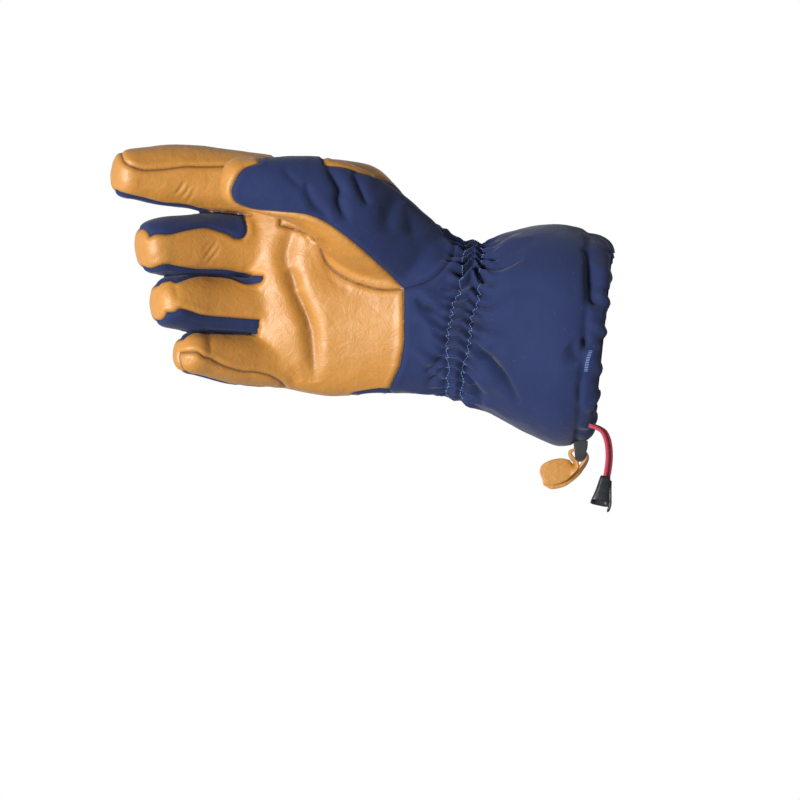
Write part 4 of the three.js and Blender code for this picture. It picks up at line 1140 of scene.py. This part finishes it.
def goat_leather():
    """Full-grain goat leather, golden tan: pebble grain about 0.8 mm, soft wrinkles
    of 5 mm, uneven tan over 25 mm, painted shade in creases, darker at the turned seam edges."""
    material, add, shader = new_material("tan_goat_leather", 0.5, specular=0.6, sheen=0.05)
    place = add("TexCoord").outputs["Object"]
    grain = add("TexVoronoi", {"Vector": place, "Scale": 1 / 0.00085}, feature="SMOOTH_F1")
    fine = add("TexNoise", {"Vector": place, "Scale": 1 / 0.0022, "Detail": 4.0}).outputs["Color"]
    wrinkle = add("TexNoise", {"Vector": place, "Scale": 1 / 0.006, "Detail": 3.0, "Distortion": 0.8})
    tone = add("TexNoise", {"Vector": place, "Scale": 1 / 0.025, "Detail": 3.0})
    tan = add("Mix", {"Factor": tone, 6: "#905f1c", 7: "#a36f26"}, data_type="RGBA")
    flecks = add("Mix", {"Factor": 0.16, 6: tan, 7: fine}, data_type="RGBA", blend_type="OVERLAY")
    # 5c3414 is painted shade in creases and where fingers touch; #3c210e darkens the seam edges.
    colour, seam = darkened(add, flecks, "#5c3414", "#3c210e", 0.75)
    groove = add("MapRange", {
        "Value": seam, "From Min": 0.0, "From Max": 0.0012,
    }, interpolation_type="SMOOTHSTEP")
    wrinkled = add("Bump", {"Height": wrinkle, "Strength": 0.35, "Distance": 0.0012})
    grained = add("Bump", {"Height": grain, "Strength": 0.35, "Distance": 0.00022, "Normal": wrinkled})
    fill(shader, {
        "Base Color": colour,
        "Roughness": add("MapRange", {"Value": wrinkle, "To Min": 0.44, "To Max": 0.6}),
        "Normal": add("Bump", {"Height": groove, "Strength": 0.6, "Distance": 0.0006, "Normal": grained}),
    })
    return material


def softshell():
    """Stretch-woven softshell, navy and matt: weave of 0.5 mm, a soft crumple of 4 mm,
    sparse pale lint specks of 0.3 mm, painted shade in folds, and darker at seams."""
    material, add, shader = new_material("navy_woven_softshell", 0.82, specular=0.15, sheen=0.08)
    place = add("TexCoord").outputs["Object"]
    weave = add("TexNoise", {"Vector": place, "Scale": 1 / 0.0005, "Detail": 1.0})
    crumple = add("TexNoise", {"Vector": place, "Scale": 1 / 0.005, "Detail": 3.0})
    tone = add("TexNoise", {"Vector": place, "Scale": 1 / 0.03, "Detail": 2.0})
    navy = add("Mix", {"Factor": tone, 6: "#162040", 7: "#1c274b"}, data_type="RGBA")
    woven = add("Mix", {
        "Factor": 0.2, 6: navy, 7: weave.outputs["Color"],
    }, data_type="RGBA", blend_type="OVERLAY")
    lint = add("MapRange", {
        "Value": add("TexVoronoi", {"Vector": place, "Scale": 1 / 0.0045}),
        "From Min": 0.035, "From Max": 0.06, "To Min": 0.3, "To Max": 0.0,
    })
    dusted = add("Mix", {"Factor": lint, 6: woven, 7: "#6d7694"}, data_type="RGBA")
    crumpled = add("Bump", {"Height": crumple, "Strength": 0.3, "Distance": 0.0012})
    fill(shader, {
        # 0d1022 is painted shade in folds; #0c0e1c darkens the seams.
        "Base Color": darkened(add, dusted, "#0d1022", "#0c0e1c", 0.7)[0],
        "Normal": add("Bump", {"Height": weave, "Strength": 0.3, "Distance": 0.0001, "Normal": crumpled}),
    })
    return material


def panel_object(name, chosen, material):
    """One panel with thickness, its own attributes and the shell's shading."""
    tris = triangles[chosen]
    used, tris = np.unique(tris, return_inverse=True)
    tris = tris.reshape(-1, 3)
    count = len(used)
    outside, out = points[used], normals[used]
    inside = outside - out * PANEL_THICKNESS
    pairs = tris[:, [0, 1, 1, 2, 2, 0]].reshape(-1, 2)
    _, first, times = np.unique(np.sort(pairs, axis=1), axis=0, return_index=True, return_counts=True)
    a, b = pairs[first[times == 1]].T
    faces = np.concatenate([
        tris, tris[:, ::-1] + count,
        np.stack([b, a, a + count], axis=1), np.stack([b, a + count, b + count], axis=1),
    ])
    made = mesh_object(name, np.concatenate([outside, inside]) * MM, faces, material)
    # The painted shade goes onto each panel as an attribute, beside the distance to a seam.
    for key, values in (("seam_gap", seam_gap[used] * MM), ("painted_shade", painted_shade[used])):
        attribute = made.data.attributes.new(key, "FLOAT", "POINT")
        attribute.data.foreach_set("value", np.tile(values, 2).astype(np.float32))
    made.data.normals_split_custom_set_from_vertices(np.concatenate([out, -out]).tolist())
    return made


leather = goat_leather()
navy = softshell()
inward, along = (known[key][triangles].mean(1) for key in ("inward", "x"))
open_mouth = (inward > MOUTH_DEPTH) & (along > MOUTH_START)
for number, node in enumerate(["hand_back"] + [name for name, _ in PANELS]):
    is_leather = "leather" in node
    piece = panel_object(
        f"{node}_panel", (labels == number) & ~open_mouth, leather if is_leather else navy)
    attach(piece, "root")
    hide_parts(node)

# Lining
# A soft dark lining that runs from under the hem's lip through the wrist to the
# palm, where it is closed by the fingers' insulation.
LINING = [  # x, and how far inside the glove's skin
    (-172, 20), (-171, 19), (-168, 15), (-162, 11), (-150, 9), (-120, 7.5), (-90, 6.4), (-60, 5.2),
    (-30, 4.6), (-15, 5.6), (-8, 7.4), (-2, 8.2), (1.5, 7.6), (3.0, 6.2), (3.2, 4.8),
]
LINING_THICKNESS = 1.0
LINING_SIDES = 120


def brushed_lining():
    """Brushed tricot lining: charcoal, with a short nap of 0.6 mm."""
    material, add, shader = new_material("charcoal_brushed_lining", 0.95, specular=0.1, sheen=0.3)
    place = add("TexCoord").outputs["Object"]
    nap = add("TexNoise", {"Vector": place, "Scale": 1 / 0.0006, "Detail": 3.0})
    fill(shader, {
        "Base Color": add("Mix", {"Factor": nap, 6: "#1c1d22", 7: "#34363d"}, data_type="RGBA"),
        "Normal": add("Bump", {"Height": nap, "Strength": 0.5, "Distance": 0.0003}),
    })
    return material


lining_at = np.concatenate([np.linspace(3.2, -8, 24), np.linspace(-10, -172, 110)])
lining_rings = np.array([hand_ring(x, at(LINING, x), LINING_SIDES) for x in lining_at])
inner = lining_rings.reshape(-1, 3)
middle = np.repeat(lining_rings.mean(1), LINING_SIDES, axis=0)
away = normalised((inner - middle) * (0, 1, 1))
inner = inner - away * fold_depth(measures(inner), -away[:, 1])[:, None]
outer = inner + away * LINING_THICKNESS
inner, outer = (lean(layer).reshape(lining_rings.shape) * MM for layer in (inner, outer))
lining = loft("lining", np.concatenate([inner[::-1], outer]), brushed_lining())
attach(lining, "root")

# Webbing loop and pull tab
# A narrow black webbing loop hangs from the cuff's underside. A tan leather strap
# passes through it, twists a quarter turn and ends in two rounded layers that lie
# one on the other. Both are flat straps swept along their own paths.
LOOP = [  # x, y, z, width, thickness and turn in degrees
    (-10.4, -9.9, -50.6, 7.2, 1.1, 90), (-10.5, -9.9, -54, 7, 1.1, 90), (-10.7, -9.7, -57, 5.8, 1.1, 90),
    (-11, -8.6, -59.8, 4.8, 1.1, 90), (-11.1, -6, -61.3, 4.6, 1.1, 90), (-11, -3.4, -59.8, 4.8, 1.1, 90),
    (-10.7, -2.3, -57, 5.8, 1.1, 90), (-10.5, -2.1, -54, 7, 1.1, 90), (-10.4, -2.1, -50.6, 7.2, 1.1, 90),
]
TAB = [
    (-31.5, -7.6, -69.6, 4, 1.0, 0), (-31, -7.6, -69.4, 7, 1.2, 0), (-29.8, -7.6, -69, 10.4, 1.3, 0),
    (-27.6, -7.6, -68.3, 12.4, 1.3, 0), (-24, -7.6, -67.1, 13.2, 1.3, 0), (-19.6, -7.5, -65.8, 12.2, 1.3, 0),
    (-16.4, -7.2, -65, 9, 1.3, 4), (-14.4, -6.7, -64.6, 6.4, 1.3, 30), (-13, -6.2, -63.7, 5, 1.4, 60),
    (-13.2, -6, -61.8, 4.6, 1.5, 72), (-15.4, -6, -59.2, 4.6, 1.5, 78), (-16.1, -6, -56.9, 4.6, 1.5, 84),
    (-14.2, -6, -55.6, 4.6, 1.5, 90), (-10.8, -6, -55.8, 4.6, 1.5, 90), (-7.8, -6, -57.4, 4.6, 1.5, 84),
    (-7.2, -6, -59.8, 4.6, 1.5, 72), (-8.6, -6, -62.8, 4.6, 1.5, 64), (-10.8, -5.8, -65.6, 4.8, 1.4, 56),
    (-13, -5.4, -67, 6.4, 1.3, 30), (-15.6, -5.2, -67.7, 9, 1.3, 4), (-18.8, -5.1, -68.3, 12, 1.3, 0),
    (-23, -5.1, -69.4, 13, 1.3, 0), (-26.8, -5.1, -70.4, 12.2, 1.3, 0), (-29, -5.1, -71, 10, 1.3, 0),
    (-30.2, -5.1, -71.4, 7, 1.2, 0), (-30.7, -5.1, -71.5, 4, 1.0, 0),
]
SECTION = [(-1, -0.5), (-0.96, -0.9), (-0.85, -1), (-0.4, -1), (0, -1)]  # a quarter of a strap's section
SEAM_OUT_OF_REACH = 0.01


def strap(name, rows, level, material, steps):
    """A flat strap along its rows. At turn 90 its width lies along level, and at 0 across
    both level and its path. Its cut edges are as pale as its face."""
    fine = spline(rows, steps)
    path, wide, thick, turn = fine[:, :3], fine[:, 3], fine[:, 4], np.radians(fine[:, 5])
    forward = normalised(np.gradient(path, axis=0))
    upward = normalised(np.cross(forward, level))
    across = np.cos(turn)[:, None] * upward + np.sin(turn)[:, None] * np.array(level)
    across = normalised(across - forward * (across * forward).sum(1)[:, None])
    flat = np.cross(forward, across)
    lower = SECTION + [(-u, v) for u, v in SECTION[-2::-1]]
    outline = np.array(lower + [(u, -v) for u, v in lower[::-1]])
    across, flat = across * wide[:, None] / 2, flat * thick[:, None] / 2
    rings = path[:, None] + outline[:, :1] * across[:, None] + outline[:, 1:] * flat[:, None]
    made = loft(name, rings * MM, material)
    far = made.data.attributes.new("seam_gap", "FLOAT", "POINT")
    far.data.foreach_set("value", np.full(len(made.data.vertices), SEAM_OUT_OF_REACH, np.float32))
    return made


def nylon_webbing():
    """Woven nylon webbing: black, ribs across every 0.9 mm with painted shade between them, with a faint
    sheen.
    """
    material, add, shader = new_material("black_nylon_webbing", 0.6, specular=0.35, sheen=0.15)
    ribs = waves(add, [(1 / 0.0011, 0), (0, 1 / 0.0009)], "MULTIPLY")
    shade = add("MapRange", {"Value": ribs, "From Min": -1.0, "From Max": 1.0})
    fill(shader, {
        # The darker black between the ribs is painted shade.
        "Base Color": add("Mix", {"Factor": shade, 6: "#0b0c10", 7: "#22242b"}, data_type="RGBA"),
        "Normal": add("Bump", {"Height": shade, "Strength": 0.7, "Distance": 0.0002}),
    })
    return material


for name, rows, level, material, node, slot in (
    ("webbing_loop_strap", LOOP, (1.0, 0, 0), nylon_webbing(), "webbing_loop", "black_webbing"),
    ("pull_tab_strap", TAB, (0, 1.0, 0), leather, "pull_tab", "tan_leather"),
):
    piece = strap(name, rows, level, material, 6 * len(rows))
    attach(piece, "root")
    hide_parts(node)
